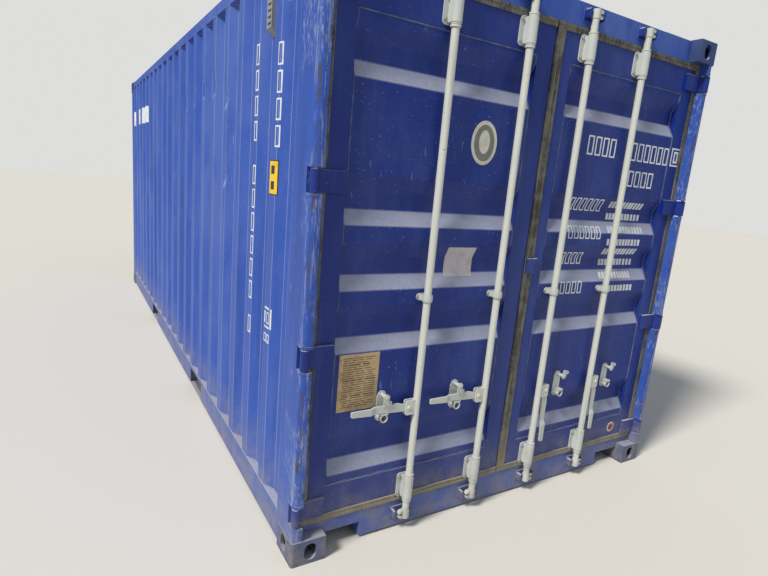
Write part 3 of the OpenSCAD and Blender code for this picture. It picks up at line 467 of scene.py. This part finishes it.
def materials():
    """All finishes, made once."""
    if not MATERIALS:
        p = paint()
        wall, door = tuple(p.wall_colour), tuple(p.door_colour)
        MATERIALS.update(
            wall=steel_paint("wall_paint", wall, 0.60, 0.75, 0.8, bends=Y_AXIS),
            post=steel_paint("post_paint", wall, 0.60, 0.60, 1.6, post_lip, seen(72, 62, 58), post_rubs_and_highlight),
            rail=steel_paint("rail_paint", wall, 0.70, 1.00, 1.0),
            fitting=steel_paint("fitting_paint", seen(50, 66, 112), 0.60, 0.80, 1.0, fitting_edges),
            sill=steel_paint("sill_paint", wall, 0.70, 1.00, 1.0, dust_and_top_light_colour=seen(158, 148, 128)),
            # The darker door paint is painted shade; its stronger dust on upward faces is partly painted top
            # light.
            door=steel_paint("door_paint", door, 0.30, 1.10, 0.8),
            gear=gear_finish("gear_finish", p.gear_colour),
            rod=gear_finish("rod_finish", p.rod_colour),
            rubber=rubber_finish("gasket_rubber"),
            plywood=plywood_finish("floor_plywood"),
            under=underbody_finish("underbody_coating"),
            pin=steel_finish("pin_steel", seen(146, 148, 150), 0.55),
            bolt=steel_finish("bolt_steel", seen(176, 178, 176), 0.35),
            vent=vent_finish("vent_plastic"),
            plate=plate_finish("data_plate_metal"),
            mark=film_finish("mark_paint", tuple(p.mark_colour), seen(150, 158, 176), 0.8),
            sticker=film_finish("pale_sticker", seen(198, 198, 188), seen(150, 150, 142)),
            ring=film_finish("sticker_ring", seen(116, 116, 110), seen(92, 92, 90)),
            patch=film_finish("pale_patch", seen(186, 180, 186), seen(150, 140, 150)),
            yellow=film_finish("yellow_sticker", seen(226, 190, 44), seen(176, 146, 44)),
            ink=film_finish("dark_print", seen(42, 40, 40), seen(66, 62, 58), 0.3),
            etched=film_finish("etched_lines", seen(98, 78, 54), seen(82, 66, 50), 0.4),
            red=film_finish("red_print", seen(150, 62, 54), seen(120, 58, 52), 0.4),
            bead=bead_finish("seam_sealant"),
        )
    return MATERIALS


NODE_MATERIAL = {
    "container_paint": "wall", "gear_paint": "gear", "gasket_rubber": "rubber",
    "underframe_paint": "under", "floor_plywood": "plywood", "vent_grey": "vent",
    "pin_steel": "pin", "data_plate_metal": "plate",
}
SPECIAL = {
    "corner_fittings_bottom": "fitting", "corner_fittings_top": "fitting", "rear_posts": "post",
    # The cam keepers take the darker door paint, which is painted shade.
    "hinge_lugs": "post", "door_sill": "sill", "cam_keepers": "door",
    **dict.fromkeys(("front_posts", "bottom_side_rails", "top_side_rails", "door_header",
                     "front_sill", "front_header"), "rail"),
    **{f"lock_rod_{i}": "rod" for i in range(1, 5)},
}


def material_of(node):
    if node in SPECIAL:
        return materials()[SPECIAL[node]]
    # Door parts in the wall paint slot take the darker door paint, which is painted shade.
    if node.startswith("door_") and SLOT_OF[node] == "container_paint":
        return materials()["door"]
    return materials()[NODE_MATERIAL[SLOT_OF[node]]]


# Modelling by operators

def clear_selection():
    if bpy.context.object and bpy.context.object.mode != "OBJECT":
        bpy.ops.object.mode_set(mode="OBJECT")
    bpy.ops.object.select_all(action="DESELECT")


def pick(piece):
    clear_selection()
    piece.select_set(True)
    bpy.context.view_layer.objects.active = piece
    return piece


def edit(piece, *tasks):
    """Runs each task on the piece in edit mode, with all of it selected first."""
    pick(piece)
    bpy.ops.object.mode_set(mode="EDIT")
    bpy.ops.mesh.select_all(action="SELECT")
    for task in tasks:
        task()
    bpy.ops.object.mode_set(mode="OBJECT")
    return piece


def select_faces(piece, test):
    """In edit mode, selects the faces whose centre and normal pass the test."""
    bpy.ops.mesh.select_mode(type="FACE")
    bpy.ops.mesh.select_all(action="DESELECT")
    mesh = bmesh.from_edit_mesh(piece.data)
    for face in mesh.faces:
        face.select = test(face.calc_center_median(), face.normal)
    bmesh.update_edit_mesh(piece.data)


def modify(piece, kind, **settings):
    """Adds a modifier and applies it."""
    pick(piece)
    modifier = piece.modifiers.new(kind.title(), kind)
    for key, value in settings.items():
        setattr(modifier, key, value)
    bpy.ops.object.modifier_apply(modifier=modifier.name)
    return piece


def soften(piece, width, angle=35):
    """Rounds the edges that are sharper than an angle."""
    return modify(piece, "BEVEL", width=width, segments=2, limit_method="ANGLE",
                  angle_limit=math.radians(angle), harden_normals=False)


def button(name, centre, radius, height, towards, sides=16):
    """A round head standing height proud of a face, towards a direction."""
    towards = Vector(towards).normalized()
    turn = towards.to_track_quat("Z", "Y").to_euler()
    clear_selection()
    bpy.ops.mesh.primitive_cylinder_add(vertices=sides, radius=radius, depth=height, rotation=turn,
                                        location=Vector(centre) + towards * height / 2)
    piece = bpy.context.object
    piece.name = name
    bpy.ops.object.transform_apply(location=True, rotation=True, scale=True)
    return piece


def sheet(name, centre, width, height, facing, cuts=(1, 1)):
    """A flat upright sheet whose front faces -Y ("door") or -X ("side")."""
    clear_selection()
    turn = (math.pi / 2, 0, 0) if facing == "door" else (math.pi / 2, 0, -math.pi / 2)
    bpy.ops.mesh.primitive_grid_add(x_subdivisions=cuts[0], y_subdivisions=cuts[1], size=1,
                                    location=centre, rotation=turn)
    piece = bpy.context.object
    piece.name = name
    piece.scale = (width, height, 1)
    bpy.ops.object.transform_apply(location=True, rotation=True, scale=True)
    return piece


def join(name, pieces):
    """One object from many, with all their meshes."""
    clear_selection()
    for piece in pieces:
        piece.select_set(True)
    bpy.context.view_layer.objects.active = pieces[0]
    if len(pieces) > 1:
        bpy.ops.object.join()
    pieces[0].name = name
    return pieces[0]


def dress(piece, body, material, smooth=35):
    """The last step of a new piece: its place and shading, material, body and finish slot."""
    pick(piece)
    bpy.ops.object.transform_apply(location=True, rotation=True, scale=True)
    bpy.ops.object.shade_smooth_by_angle(angle=math.radians(smooth))
    piece.data.materials.clear()
    piece.data.materials.append(materials()[material] if isinstance(material, str) else material)
    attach(piece, body)
    return piece


def surface(*pieces):
    """A tree of the pieces' faces, to lay marks and beads on."""
    points, faces = [], []
    for piece in pieces:
        mesh = piece.data
        start = len(points)
        points.extend(v.co.copy() for v in mesh.vertices)
        faces.extend([start + i for i in face.vertices] for face in mesh.polygons)
    return BVHTree.FromPolygons(points, faces)


def lay_on(piece, tree, facing, gap):
    """Moves each point of a sheet onto the surface in front of which it stands."""
    for point in piece.data.vertices:
        point.co = touch(tree, point.co, facing, gap)
    return piece


def touch(tree, point, facing, gap=0.0):
    """The place on the surface behind a point that stands in front of it."""
    way = Vector((0, 1, 0)) if facing == "door" else Vector((1, 0, 0))
    hit = tree.ray_cast(Vector(point) - way * 0.3, way)[0]
    if hit is None:
        raise RuntimeError(f"nothing behind {tuple(point)}")
    return hit - way * gap


def film(piece, thickness):
    """Gives a laid sheet its thickness, outwards."""
    return modify(piece, "SOLIDIFY", thickness=thickness, offset=1.0)


def copy_node(node, name):
    """A copy of a CAD node's mesh as one clean surface."""
    piece = bpy.data.objects.new(name, NODES[node].data.copy())
    bpy.context.scene.collection.objects.link(piece)
    edit(piece,
         lambda: bpy.ops.mesh.remove_doubles(threshold=0.00002),
         lambda: bpy.ops.mesh.dissolve_limited(angle_limit=math.radians(1.0)))
    return piece


def stand_for(piece, node, smooth=35):
    """The piece takes the CAD node's place, body, slot and finish."""
    dress(piece, BODY_OF[node], material_of(node), smooth)
    modify(piece, "WEIGHTED_NORMAL", keep_sharp=True)
    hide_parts(node)
    return piece


def soft_edged(node, width):
    """Puts a copy with rounded edges in a node's place."""
    piece = copy_node(node, f"{node}_finished")
    soften(piece, width, 28)
    return stand_for(piece, node)


def is_bend(edge, along):
    """Whether an edge runs the length of a fold, along one axis, and bends like one."""
    run = edge.verts[1].co - edge.verts[0].co
    straight = run.length > 0.2 and abs(run.normalized()[along]) > 0.99
    return straight and 0.12 < edge.calc_face_angle(0.0) < 1.3


def folded(node, along, width):
    """Copies a folded sheet and rounds its bends, which run along one axis."""
    piece = copy_node(node, f"{node}_finished")

    def round_bends():
        bpy.ops.mesh.select_mode(type="EDGE")
        bpy.ops.mesh.select_all(action="DESELECT")
        mesh = bmesh.from_edit_mesh(piece.data)
        for edge in mesh.edges:
            edge.select = is_bend(edge, along)
        bmesh.update_edit_mesh(piece.data)
        bpy.ops.mesh.bevel(offset=width, segments=3, affect="EDGES", clamp_overlap=True)

    return edit(piece, round_bends)


DENT_REACH = 2  # in radii, as far as a dent is felt
DENT_FADE = 1.8


def press_in(piece, centre, radius, depth, way):
    """A dent: a finer patch of an upright sheet, pushed along a direction."""
    centre, way = Vector(centre), Vector(way)
    across = [axis for axis in range(3) if abs(way[axis]) < 0.5]

    def cut():
        for step in range(-DENT_REACH, DENT_REACH + 1):
            bpy.ops.mesh.select_all(action="SELECT")
            bpy.ops.mesh.bisect(plane_co=centre + Vector((0, 0, radius * step)), plane_no=(0, 0, 1))

    def refine():
        reach = radius * (DENT_REACH + 0.1)
        select_faces(piece, lambda mid, facing: all(
            abs(mid[axis] - centre[axis]) < reach for axis in across))
        bpy.ops.mesh.subdivide(number_cuts=5)

    edit(piece, cut, refine)
    for point in piece.data.vertices:
        away = sum((point.co[axis] - centre[axis]) ** 2 for axis in across) / radius ** 2
        if away < DENT_REACH ** 2:
            point.co += way * depth * math.exp(-away * DENT_FADE)
    return piece


def bead_along(name, path, radius):
    """A weld or sealant bead along a path, slightly uneven."""
    rng = random.Random(name)
    curve = bpy.data.curves.new(name, "CURVE")
    curve.dimensions = "3D"
    curve.bevel_depth = radius
    curve.bevel_resolution = 1
    curve.use_fill_caps = True
    spline = curve.splines.new("POLY")
    spline.points.add(len(path) - 1)
    for point, place in zip(spline.points, path):
        point.co = (*place, 1)
        point.radius = 0.8 + 0.4 * rng.random()
    piece = bpy.data.objects.new(name, curve)
    bpy.context.scene.collection.objects.link(piece)
    pick(piece)
    bpy.ops.object.convert(target="MESH")
    return bpy.context.object


def steps(start, end, step):
    """Even steps from start to end, both included."""
    count = max(1, round(abs(end - start) / step))
    return [start + (end - start) * i / count for i in range(count + 1)]


def solids_of(node):
    """The corners of the box round each separate solid of a node."""
    mesh = bmesh.new()
    mesh.from_mesh(NODES[node].data)
    bmesh.ops.remove_doubles(mesh, verts=mesh.verts, dist=0.00002)
    boxes, known = [], set()
    for start in mesh.verts:
        if start in known:
            continue
        group, rim = set(), [start]
        while rim:
            point = rim.pop()
            if point not in group:
                group.add(point)
                rim.extend(edge.other_vert(point) for edge in point.link_edges)
        known |= group
        places = [point.co for point in group]
        boxes.append(tuple(Vector([pick_of(place[axis] for place in places) for axis in range(3)])
                           for pick_of in (min, max)))
    mesh.free()
    return boxes


def finished(node):
    return bpy.data.objects[f"{node}_finished"]


LEAVES = {"left": -1, "right": 1}
RODS = {"left": ("lock_rod_1", "lock_rod_2"), "right": ("lock_rod_4", "lock_rod_3")}
DOOR_FRONT = -3.0  # in front of all that marks and bolts lie on
SIDE_FRONT = -1.23
PIVOT = {joint["child"]: Vector(joint["pos_m"]) for joint in frame["joints"]}


FORWARD = Vector((0, -1, 0))
ON_PAINT = 0.0003  # gap between the paint and what lies on it
MESH_STEP = 0.012  # of a film that follows the folds
STROKE = 0.19      # of a hollow block, as a share of its width


def drape(name, tree, centre, width, height, facing, material, body, thick=None):
    """A thin sheet of film laid over the folds of a wall or a leaf."""
    cuts = (max(1, round(width / MESH_STEP)), max(1, round(height / MESH_STEP)))
    piece = sheet(name, centre, width, height, facing, cuts)
    lay_on(piece, tree, facing, ON_PAINT)
    film(piece, thick or sizes().film)
    return dress(piece, body, material, smooth=60)


def hollow_block(name, tree, centre, width, height, stroke, facing):
    """A plain hollow block in place of a character, laid over the surface."""
    piece = sheet(name, centre, width, height, facing)

    def inset():
        bpy.ops.mesh.inset(thickness=stroke, depth=0)
        bpy.ops.mesh.delete(type="FACE")

    def divide():
        bpy.ops.mesh.subdivide(number_cuts=3)

    edit(piece, inset)
    edit(piece, divide)
    lay_on(piece, tree, facing, ON_PAINT)
    return film(piece, sizes().film)


def block_row(name, tree, start, pitch, width, height, count, facing="door"):
    """Hollow blocks in a row on a leaf, or in a column that runs down a side."""
    step = Vector((pitch, 0, 0)) if facing == "door" else Vector((0, 0, -pitch))
    stroke = width * STROKE
    return [hollow_block(f"{name}_{i}", tree, Vector(start) + step * i, width, height, stroke, facing)
            for i in range(count)]


class ContainerOperator:
    """What all operators here share."""
    bl_options = {"REGISTER", "UNDO"}


class CONTAINER_OT_paint_nodes(ContainerOperator, bpy.types.Operator):
    """Paint every structural piece"""
    bl_idname = "container.paint_nodes"
    bl_label = "Paint the Structure"

    def execute(self, context):
        for node, piece in NODES.items():
            piece.data.materials.clear()
            piece.data.materials.append(material_of(node))
            pick(piece)
            bpy.ops.object.shade_smooth_by_angle(angle=math.radians(30))
        return {"FINISHED"}


# Width of the rounded edges of each node, as a share of the edge rounding
EDGES = {
    "corner_fittings_bottom": 5 / 3, "corner_fittings_top": 5 / 3, "rear_posts": 1, "front_posts": 1,
    "hinge_lugs": 2 / 3, "hinge_pins": 1, "bottom_side_rails": 1, "top_side_rails": 1,
    "door_sill": 1, "door_header": 1, "front_sill": 1, "front_header": 1, "cam_keepers": 1,
    "roof_corner_plates": 1 / 3, "vents": 1 / 2,
    **{f"door_{side}_{part}": share
       for part, share in (("frame", 5 / 6), ("hinge_blades", 5 / 6), ("rod_bearings", 1 / 2),
                           ("catches", 1 / 2), ("gasket", 1 / 2)) for side in LEAVES},
    "data_plate": 1 / 5,
    **{f"{part}_{i}": share for i in range(1, 5)
       for part, share in (("lock_rod", 1 / 2), ("handle", 5 / 6), ("hasp", 2 / 5))},
}


class CONTAINER_OT_round_edges(ContainerOperator, bpy.types.Operator):
    """Round the edges of castings, posts, rails, frames, gaskets and lock gear"""
    bl_idname = "container.round_edges"
    bl_label = "Round the Edges"

    def execute(self, context):
        for node, share in EDGES.items():
            soft_edged(node, sizes().edge_round * share)
        return {"FINISHED"}


# Node, centre, radius, depth and direction of each dent
INTO_LEFT, INTO_RIGHT, INTO_DOOR = (1, 0, 0), (-1, 0, 0), (0, 1, 0)
DENTS = (
    ("side_wall_left", (-1.21, -0.545, 2.098), 0.060, 0.026, INTO_LEFT),
    ("side_wall_left", (-1.21, -0.828, 2.119), 0.060, 0.028, INTO_LEFT),
    ("side_wall_left", (-1.21, -1.115, 2.145), 0.062, 0.030, INTO_LEFT),
    ("side_wall_left", (-1.21, -1.400, 2.138), 0.062, 0.030, INTO_LEFT),
    ("side_wall_left", (-1.21, -1.690, 2.044), 0.060, 0.026, INTO_LEFT),
    ("side_wall_left", (-1.21, -1.690, 1.611), 0.060, 0.028, INTO_LEFT),
    ("side_wall_right", (1.21, 0.9, 1.30), 0.15, 0.006, INTO_RIGHT),
    ("door_right_panel", (0.83, -2.966, 1.83), 0.10, 0.004, INTO_DOOR),
)
FOLDS_ALONG = {
    "side_wall_left": Z_AXIS, "side_wall_right": Z_AXIS, "front_wall": Z_AXIS,
    "roof": X_AXIS, "door_left_panel": X_AXIS, "door_right_panel": X_AXIS,
}


class CONTAINER_OT_fold_sheets(ContainerOperator, bpy.types.Operator):
    """Round the bends of the corrugated walls, the roof and the door panels, and dent them"""
    bl_idname = "container.fold_sheets"
    bl_label = "Fold the Sheets"

    def execute(self, context):
        for node, along in FOLDS_ALONG.items():
            piece = folded(node, along, sizes().fold_round)
            for dented, centre, radius, depth, way in DENTS:
                if dented == node:
                    press_in(piece, centre, radius, depth, way)
            stand_for(piece, node, 40)
        return {"FINISHED"}


def panel_beads(side, radius):
    """Sealant along the four edges of a door panel."""
    tree = surface(finished(f"door_{side}_panel"))
    low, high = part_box(f"door_{side}_panel")
    inset = Vector((0.004, 0, 0.004))
    front = low.y
    low, high = low + inset, high - inset
    paths = [(x, [(x, front, z) for z in steps(low.z, high.z, 0.010)]) for x in (low.x, high.x)]
    paths += [(z, [(x, front, z) for x in steps(low.x, high.x, 0.05)]) for z in (low.z, high.z)]
    return [bead_along(f"{side}_bead_{round(at * 1000)}", [touch(tree, point, "door") for point in path],
                       radius) for at, path in paths]


def wall_beads(side, s, radius):
    """Welds along a side wall's top and bottom, on its outside."""
    low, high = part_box(f"side_wall_{side}")
    tree = surface(finished(f"side_wall_{side}"))
    beads = []
    for z in (low.z + 0.003, high.z - 0.003):
        path = [tree.ray_cast(Vector((s * 1.4, y, z)), Vector((-s, 0, 0)))[0]
                for y in steps(low.y + 0.02, high.y - 0.02, 0.012)]
        beads.append(bead_along(f"wall_{side}_{round(z * 1000)}", path, radius))
    return beads


def post_beads(side, s, radius):
    """Welds where a door post's inner flange meets its fittings."""
    low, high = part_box("rear_posts")
    return [bead_along(f"post_{side}_{round(z * 1000)}",
                       [(x, low.y + 0.001, z) for x in steps(s * 1.176, s * 1.196, 0.008)], radius)
            for z in (low.z, high.z)]


def keeper_bead(number, low, high, radius):
    """A weld round the foot of one cam keeper."""
    y = high.y - radius * 0.4
    corners = ((low.x, low.z), (high.x, low.z), (high.x, high.z), (low.x, high.z), (low.x, low.z))
    count = 6
    path = [(x0 + (x1 - x0) * k / count, y, z0 + (z1 - z0) * k / count)
            for (x0, z0), (x1, z1) in zip(corners, corners[1:]) for k in range(count)]
    return bead_along(f"keeper_{number}", path + path[:1], radius * 0.8)


class CONTAINER_OT_seal_seams(ContainerOperator, bpy.types.Operator):
    """Lay the sealant and weld beads along the panels, walls and posts"""
    bl_idname = "container.seal_seams"
    bl_label = "Seal the Seams"

    def execute(self, context):
        radius = sizes().bead / 2
        for side in LEAVES:
            dress(join(f"door_{side}_sealant", panel_beads(side, radius * 1.5)), f"door_{side}",
                  "bead")
        beads = []
        for side, s in LEAVES.items():
            beads += wall_beads(side, s, radius) + post_beads(side, s, radius)
        for i, (low, high) in enumerate(solids_of("cam_keepers")):
            beads.append(keeper_bead(i, low, high, radius))
        dress(join("wall_welds", beads), "frame", "rail")
        return {"FINISHED"}


BEARING_HEIGHTS = (0.2355, 2.3815)
GUIDE_HEIGHT = 1.176
BOLT_ACROSS, BOLT_UP = 0.037, 0.045
BEARING_BOLT = (0.62, 0.007)  # radius as a share of the bolt width, and height
GUIDE_BOLT = (0.5, 0.005)


class CONTAINER_OT_fastenings(ContainerOperator, bpy.types.Operator):
    """Put the bolts on the rod bearings and guides"""
    bl_idname = "container.fastenings"
    bl_label = "Fit the Fastenings"

    def execute(self, context):
        for side in LEAVES:
            tree = surface(finished(f"door_{side}_rod_bearings"))
            heads = []
            for rod in RODS[side]:
                x = PIVOT[rod].x
                heads += [(x + dx, z + dz, BEARING_BOLT) for z in BEARING_HEIGHTS
                          for dx in (-BOLT_ACROSS, BOLT_ACROSS) for dz in (-BOLT_UP, BOLT_UP)]
                heads += [(x + dx, GUIDE_HEIGHT, GUIDE_BOLT) for dx in (-BOLT_ACROSS, BOLT_ACROSS)]
            made = []
            for i, (x, z, (share, height)) in enumerate(heads):
                radius = sizes().bolt_width * share
                base = touch(tree, (x, DOOR_FRONT, z), "door", -0.001)
                made.append(soften(button(f"{side}_head_{i}", base, radius, height, FORWARD), radius * 0.35))
            dress(join(f"door_{side}_bolts", made), f"door_{side}", "bolt")
        return {"FINISHED"}


class CONTAINER_OT_data_lines(ContainerOperator, bpy.types.Operator):
    """Etch plain lines on the data plate and rivet it on"""
    bl_idname = "container.data_lines"
    bl_label = "Finish the Data Plate"

    def execute(self, context):
        rng = random.Random(5)
        low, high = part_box("data_plate")
        middle = (low + high) / 2
        tree = surface(finished("data_plate"))
        lines = []
        for row, z in enumerate(steps(low.z + 0.020, high.z - 0.018, 0.0105)):
            tall = 0.0056 if row % 7 == 5 else 0.0032
            x = low.x + 0.014 + 0.012 * rng.random()
            while x < high.x - 0.05:
                end = min(x + 0.018 + 0.05 * rng.random(), high.x - 0.016)
                centre = ((x + end) / 2, low.y, z)
                line = sheet(f"line_{row}_{round(x * 1e4)}", centre, end - x, tall, "door")
                lay_on(line, tree, "door", 0.0001)
                lines.append(film(line, 0.0004))
                x = end + 0.005 + 0.008 * rng.random()
        dress(join("data_plate_lines", lines), "door_left", "etched")
        rim = 0.009
        rivets = []
        for x in (low.x + rim, middle.x, high.x - rim):
            for z in (low.z + rim, middle.z, high.z - rim):
                if (x, z) != (middle.x, middle.z):
                    base = touch(tree, (x, low.y, z), "door", -0.0005)
                    rivets.append(soften(button("rivet", base, 0.0048, 0.0030, FORWARD), 0.0016))
        dress(join("data_plate_rivets", rivets), "door_left", "bolt")
        return {"FINISHED"}


class CONTAINER_OT_marks(ContainerOperator, bpy.types.Operator):
    """Lay plain blocks and bars where the painted marks are"""
    bl_idname = "container.marks"
    bl_label = "Paint the Marks"

    def execute(self, context):
        tree = surface(finished("door_right_panel"), finished("door_right_frame"))
        tall = sizes().glyph_height
        pieces = []
        for name, x, z, height, count in (("row_a", 0.352, 1.946, tall, 4), ("row_b", 0.716, 1.946, tall, 6),
                                          ("row_c", 0.726, 1.800, tall * 0.9, 4)):
            pieces += block_row(name, tree, (x, DOOR_FRONT, z), 0.060, 0.046, height, count)
        boxed = (1.108, DOOR_FRONT, 1.950)
        for width, height, stroke in ((0.092, 0.104, 0.009), (0.040, 0.066, 0.011)):
            pieces.append(hollow_block("boxed", tree, boxed, width, height, stroke, "door"))
        dress(join("large_marks", pieces), "door_right", "mark", smooth=60)
        rng = random.Random(11)
        heights = (1.650, 1.583, 1.510, 1.440, 1.385, 1.320, 1.245, 1.170)
        rows = [(z, 0.625, 0.790) for z in heights]
        rows += [(z, 0.815, 0.880 + 0.05 * rng.random()) for z in heights]
        height = 0.036
        width = height * 0.55
        bars = []
        for z, start, end in rows:
            for x in steps(start, end, width * 1.45):
                bar = sheet("bar", (x, DOOR_FRONT, z), width, height, "door", (1, 8))
                lay_on(bar, tree, "door", ON_PAINT)
                bars.append(film(bar, sizes().film))
        for z in (1.640, 1.490, 1.345, 1.185):
            count = rng.choice((4, 5, 6))
            bars += block_row("tall", tree, (0.305, DOOR_FRONT, z), 0.046, 0.034, 0.068, count)
        dress(join("small_marks", bars), "door_right", "mark", smooth=60)
        tree = surface(finished("side_wall_left"))
        pieces = []
        for y, z, pitch, count in ((-2.298, 2.196, 0.114, 4), (-2.298, 1.650, 0.114, 6),
                                   (-2.298, 0.900, 0.114, 1), (-2.600, 2.160, 0.112, 4)):
            pieces += block_row("side", tree, (SIDE_FRONT, y, z), pitch, 0.040, 0.092, count, "side")
        for y, z, width, height, stroke in (
                (-2.563, 1.004, 0.104, 0.100, 0.009), (-2.541, 1.004, 0.016, 0.056, 0.006),
                (-2.581, 1.004, 0.034, 0.056, 0.006), (-2.550, 0.906, 0.030, 0.042, 0.006),
                (-2.588, 0.906, 0.030, 0.042, 0.006)):
            pieces.append(hollow_block("side", tree, (SIDE_FRONT, y, z), width, height, stroke, "side"))
        dress(join("side_marks", pieces), "frame", "mark", smooth=60)
        for i in range(4):
            drape(f"side_bar_{i}", tree, (SIDE_FRONT, 2.70 - 0.36 * i, 2.145), 0.22, 0.17,
                  "side", "mark", "frame")
        return {"FINISHED"}


class CONTAINER_OT_stickers(ContainerOperator, bpy.types.Operator):
    """Stick the plain labels and patches on the doors and the side"""
    bl_idname = "container.stickers"
    bl_label = "Stick the Labels"

    def execute(self, context):
        left = surface(finished("door_left_panel"), finished("door_left_frame"))
        right = surface(finished("door_right_panel"), finished("door_right_frame"))
        wall = surface(finished("side_wall_left"))
        for name, tree, side, x, z, width, height, material, thick in (
                ("oval_label_rim", left, "left", -0.366, 1.880, 0.150, 0.195, "sticker", 0.0006),
                ("oval_label", left, "left", -0.366, 1.880, 0.118, 0.160, "ring", 0.0011),
                ("oval_label_core", left, "left", -0.366, 1.884, 0.062, 0.104, "sticker", 0.0016),
                ("round_label_rim", right, "right", 0.959, 0.250, 0.066, 0.066, "sticker", 0.0008),
                ("round_label", right, "right", 0.959, 0.250, 0.046, 0.046, "red", 0.0014)):
            base = touch(tree, (x, DOOR_FRONT, z), "door")
            piece = button(name, base, 0.5, thick, FORWARD, 48)
            shape = Matrix.Diagonal((width, 1, height, 1))
            piece.data.transform(Matrix.Translation(base) @ shape @ Matrix.Translation(-base))
            dress(piece, f"door_{side}", material)
        drape("pale_patch", left, (-0.4105, DOOR_FRONT, 1.3305), 0.167, 0.141, "door", "patch", "door_left")
        label = Vector((SIDE_FRONT, -2.566, 1.6475))
        drape("side_label_rim", wall, label, 0.108, 0.152, "side", "ink", "frame", 0.0005)
        drape("side_label", wall, label, 0.098, 0.142, "side", "yellow", "frame", 0.0012)
        for i, dz in enumerate((0.034, -0.034)):
            bar = sheet(f"side_label_bar_{i}", label + Vector((0, -0.006, dz)), 0.042, 0.036, "side", (6, 2))
            lay_on(bar, wall, "side", 0.0014)
            film(bar, 0.0005)
            dress(bar, "frame", "ink")
        return {"FINISHED"}


class CONTAINER_OT_stage(ContainerOperator, bpy.types.Operator):
    """Set the floor, the lights and the camera"""
    bl_idname = "container.stage"
    bl_label = "Set the Stage"

    def execute(self, context):
        clear_selection()
        bpy.ops.mesh.primitive_plane_add(size=80, location=(0, 0, 0))
        floor = context.object
        floor.name = "studio_floor"
        net = Net("studio_floor")
        net.finish(seen(208, 205, 198), 0.9)
        floor.data.materials.append(net.material)
        world = bpy.data.worlds.new("studio")
        context.scene.world = world
        world.use_nodes = True
        nodes = world.node_tree.nodes
        background = nodes["Background"]
        path = nodes.new("ShaderNodeLightPath")
        mix = nodes.new("ShaderNodeMix")
        mix.data_type = "RGBA"
        links = world.node_tree.links
        links.new(path.outputs["Is Camera Ray"], mix.inputs["Factor"])
        light_socket, backdrop_socket = mix.inputs[6], mix.inputs[7]
        light_socket.default_value = (*scaled((0.82, 0.90, 1.0), 0.36), 1)
        backdrop_socket.default_value = (*seen(222, 222, 220), 1)
        links.new(mix.outputs[2], background.inputs["Color"])
        background.inputs["Strength"].default_value = 1.0
        lamps = (
            ("key_light", (-7.0, -1.8, 8.0), 3.7, 12.0, (1.0, 0.96, 0.89)),
            ("fill_light", (3.5, -9.0, 5.0), 0.25, 60.0, (0.94, 0.97, 1.0)),
        )
        for name, place, strength, spread, colour in lamps:
            data = bpy.data.lights.new(name, "SUN")
            data.energy = strength
            data.angle = math.radians(spread)
            data.color = colour
            lamp = bpy.data.objects.new(name, data)
            context.scene.collection.objects.link(lamp)
            lamp.location = place
            lamp.rotation_euler = (-Vector(place)).to_track_quat("-Z", "Y").to_euler()
        data = bpy.data.cameras.new("camera")
        data.sensor_width = 36.0
        data.lens = 24.80
        data.clip_end = 200
        camera = bpy.data.objects.new("camera", data)
        context.scene.collection.objects.link(camera)
        camera.location = (-2.006, -4.879, 1.689)
        camera.rotation_euler = camera_turn()
        context.scene.camera = camera
        context.scene.view_settings.view_transform = "Standard"
        return {"FINISHED"}


def camera_turn():
    """The camera's turn from the solved rotation vector of the photograph's view."""
    solved = Vector((0.2234, -0.5399, 0.0279))
    turn = Matrix.Rotation(solved.length, 3, solved)
    level = Matrix(((1, 0, 0), (0, 0, -1), (0, 1, 0)))
    view = turn @ level
    axes = Matrix((view[0], -view[1], -view[2])).transposed()
    return axes.to_euler()


class CONTAINER_PT_panel(bpy.types.Panel):
    bl_label = "Container"
    bl_idname = "CONTAINER_PT_panel"
    bl_space_type = "VIEW_3D"
    bl_region_type = "UI"
    bl_category = "Container"

    def draw(self, context):
        layout = self.layout
        for group in (context.scene.container_paint, context.scene.container_sizes):
            box = layout.box()
            for name in group.__annotations__:
                box.prop(group, name)
        for operator in OPERATORS:
            layout.operator(operator.bl_idname)


OPERATORS = (
    CONTAINER_OT_paint_nodes,
    CONTAINER_OT_round_edges,
    CONTAINER_OT_fold_sheets,
    CONTAINER_OT_seal_seams,
    CONTAINER_OT_fastenings,
    CONTAINER_OT_data_lines,
    CONTAINER_OT_marks,
    CONTAINER_OT_stickers,
    CONTAINER_OT_stage,
)
CLASSES = (ContainerPaint, ContainerSizes, *OPERATORS, CONTAINER_PT_panel)


def register():
    for cls in CLASSES:
        bpy.utils.register_class(cls)
    bpy.types.Scene.container_paint = bpy.props.PointerProperty(type=ContainerPaint)
    bpy.types.Scene.container_sizes = bpy.props.PointerProperty(type=ContainerSizes)


def unregister():
    del bpy.types.Scene.container_sizes
    del bpy.types.Scene.container_paint
    for cls in reversed(CLASSES):
        bpy.utils.unregister_class(cls)


def main():
    register()
    for operator in OPERATORS:
        name = operator.bl_idname.split(".")[1]
        getattr(bpy.ops.container, name)()


if __name__ == "__main__":
    main()
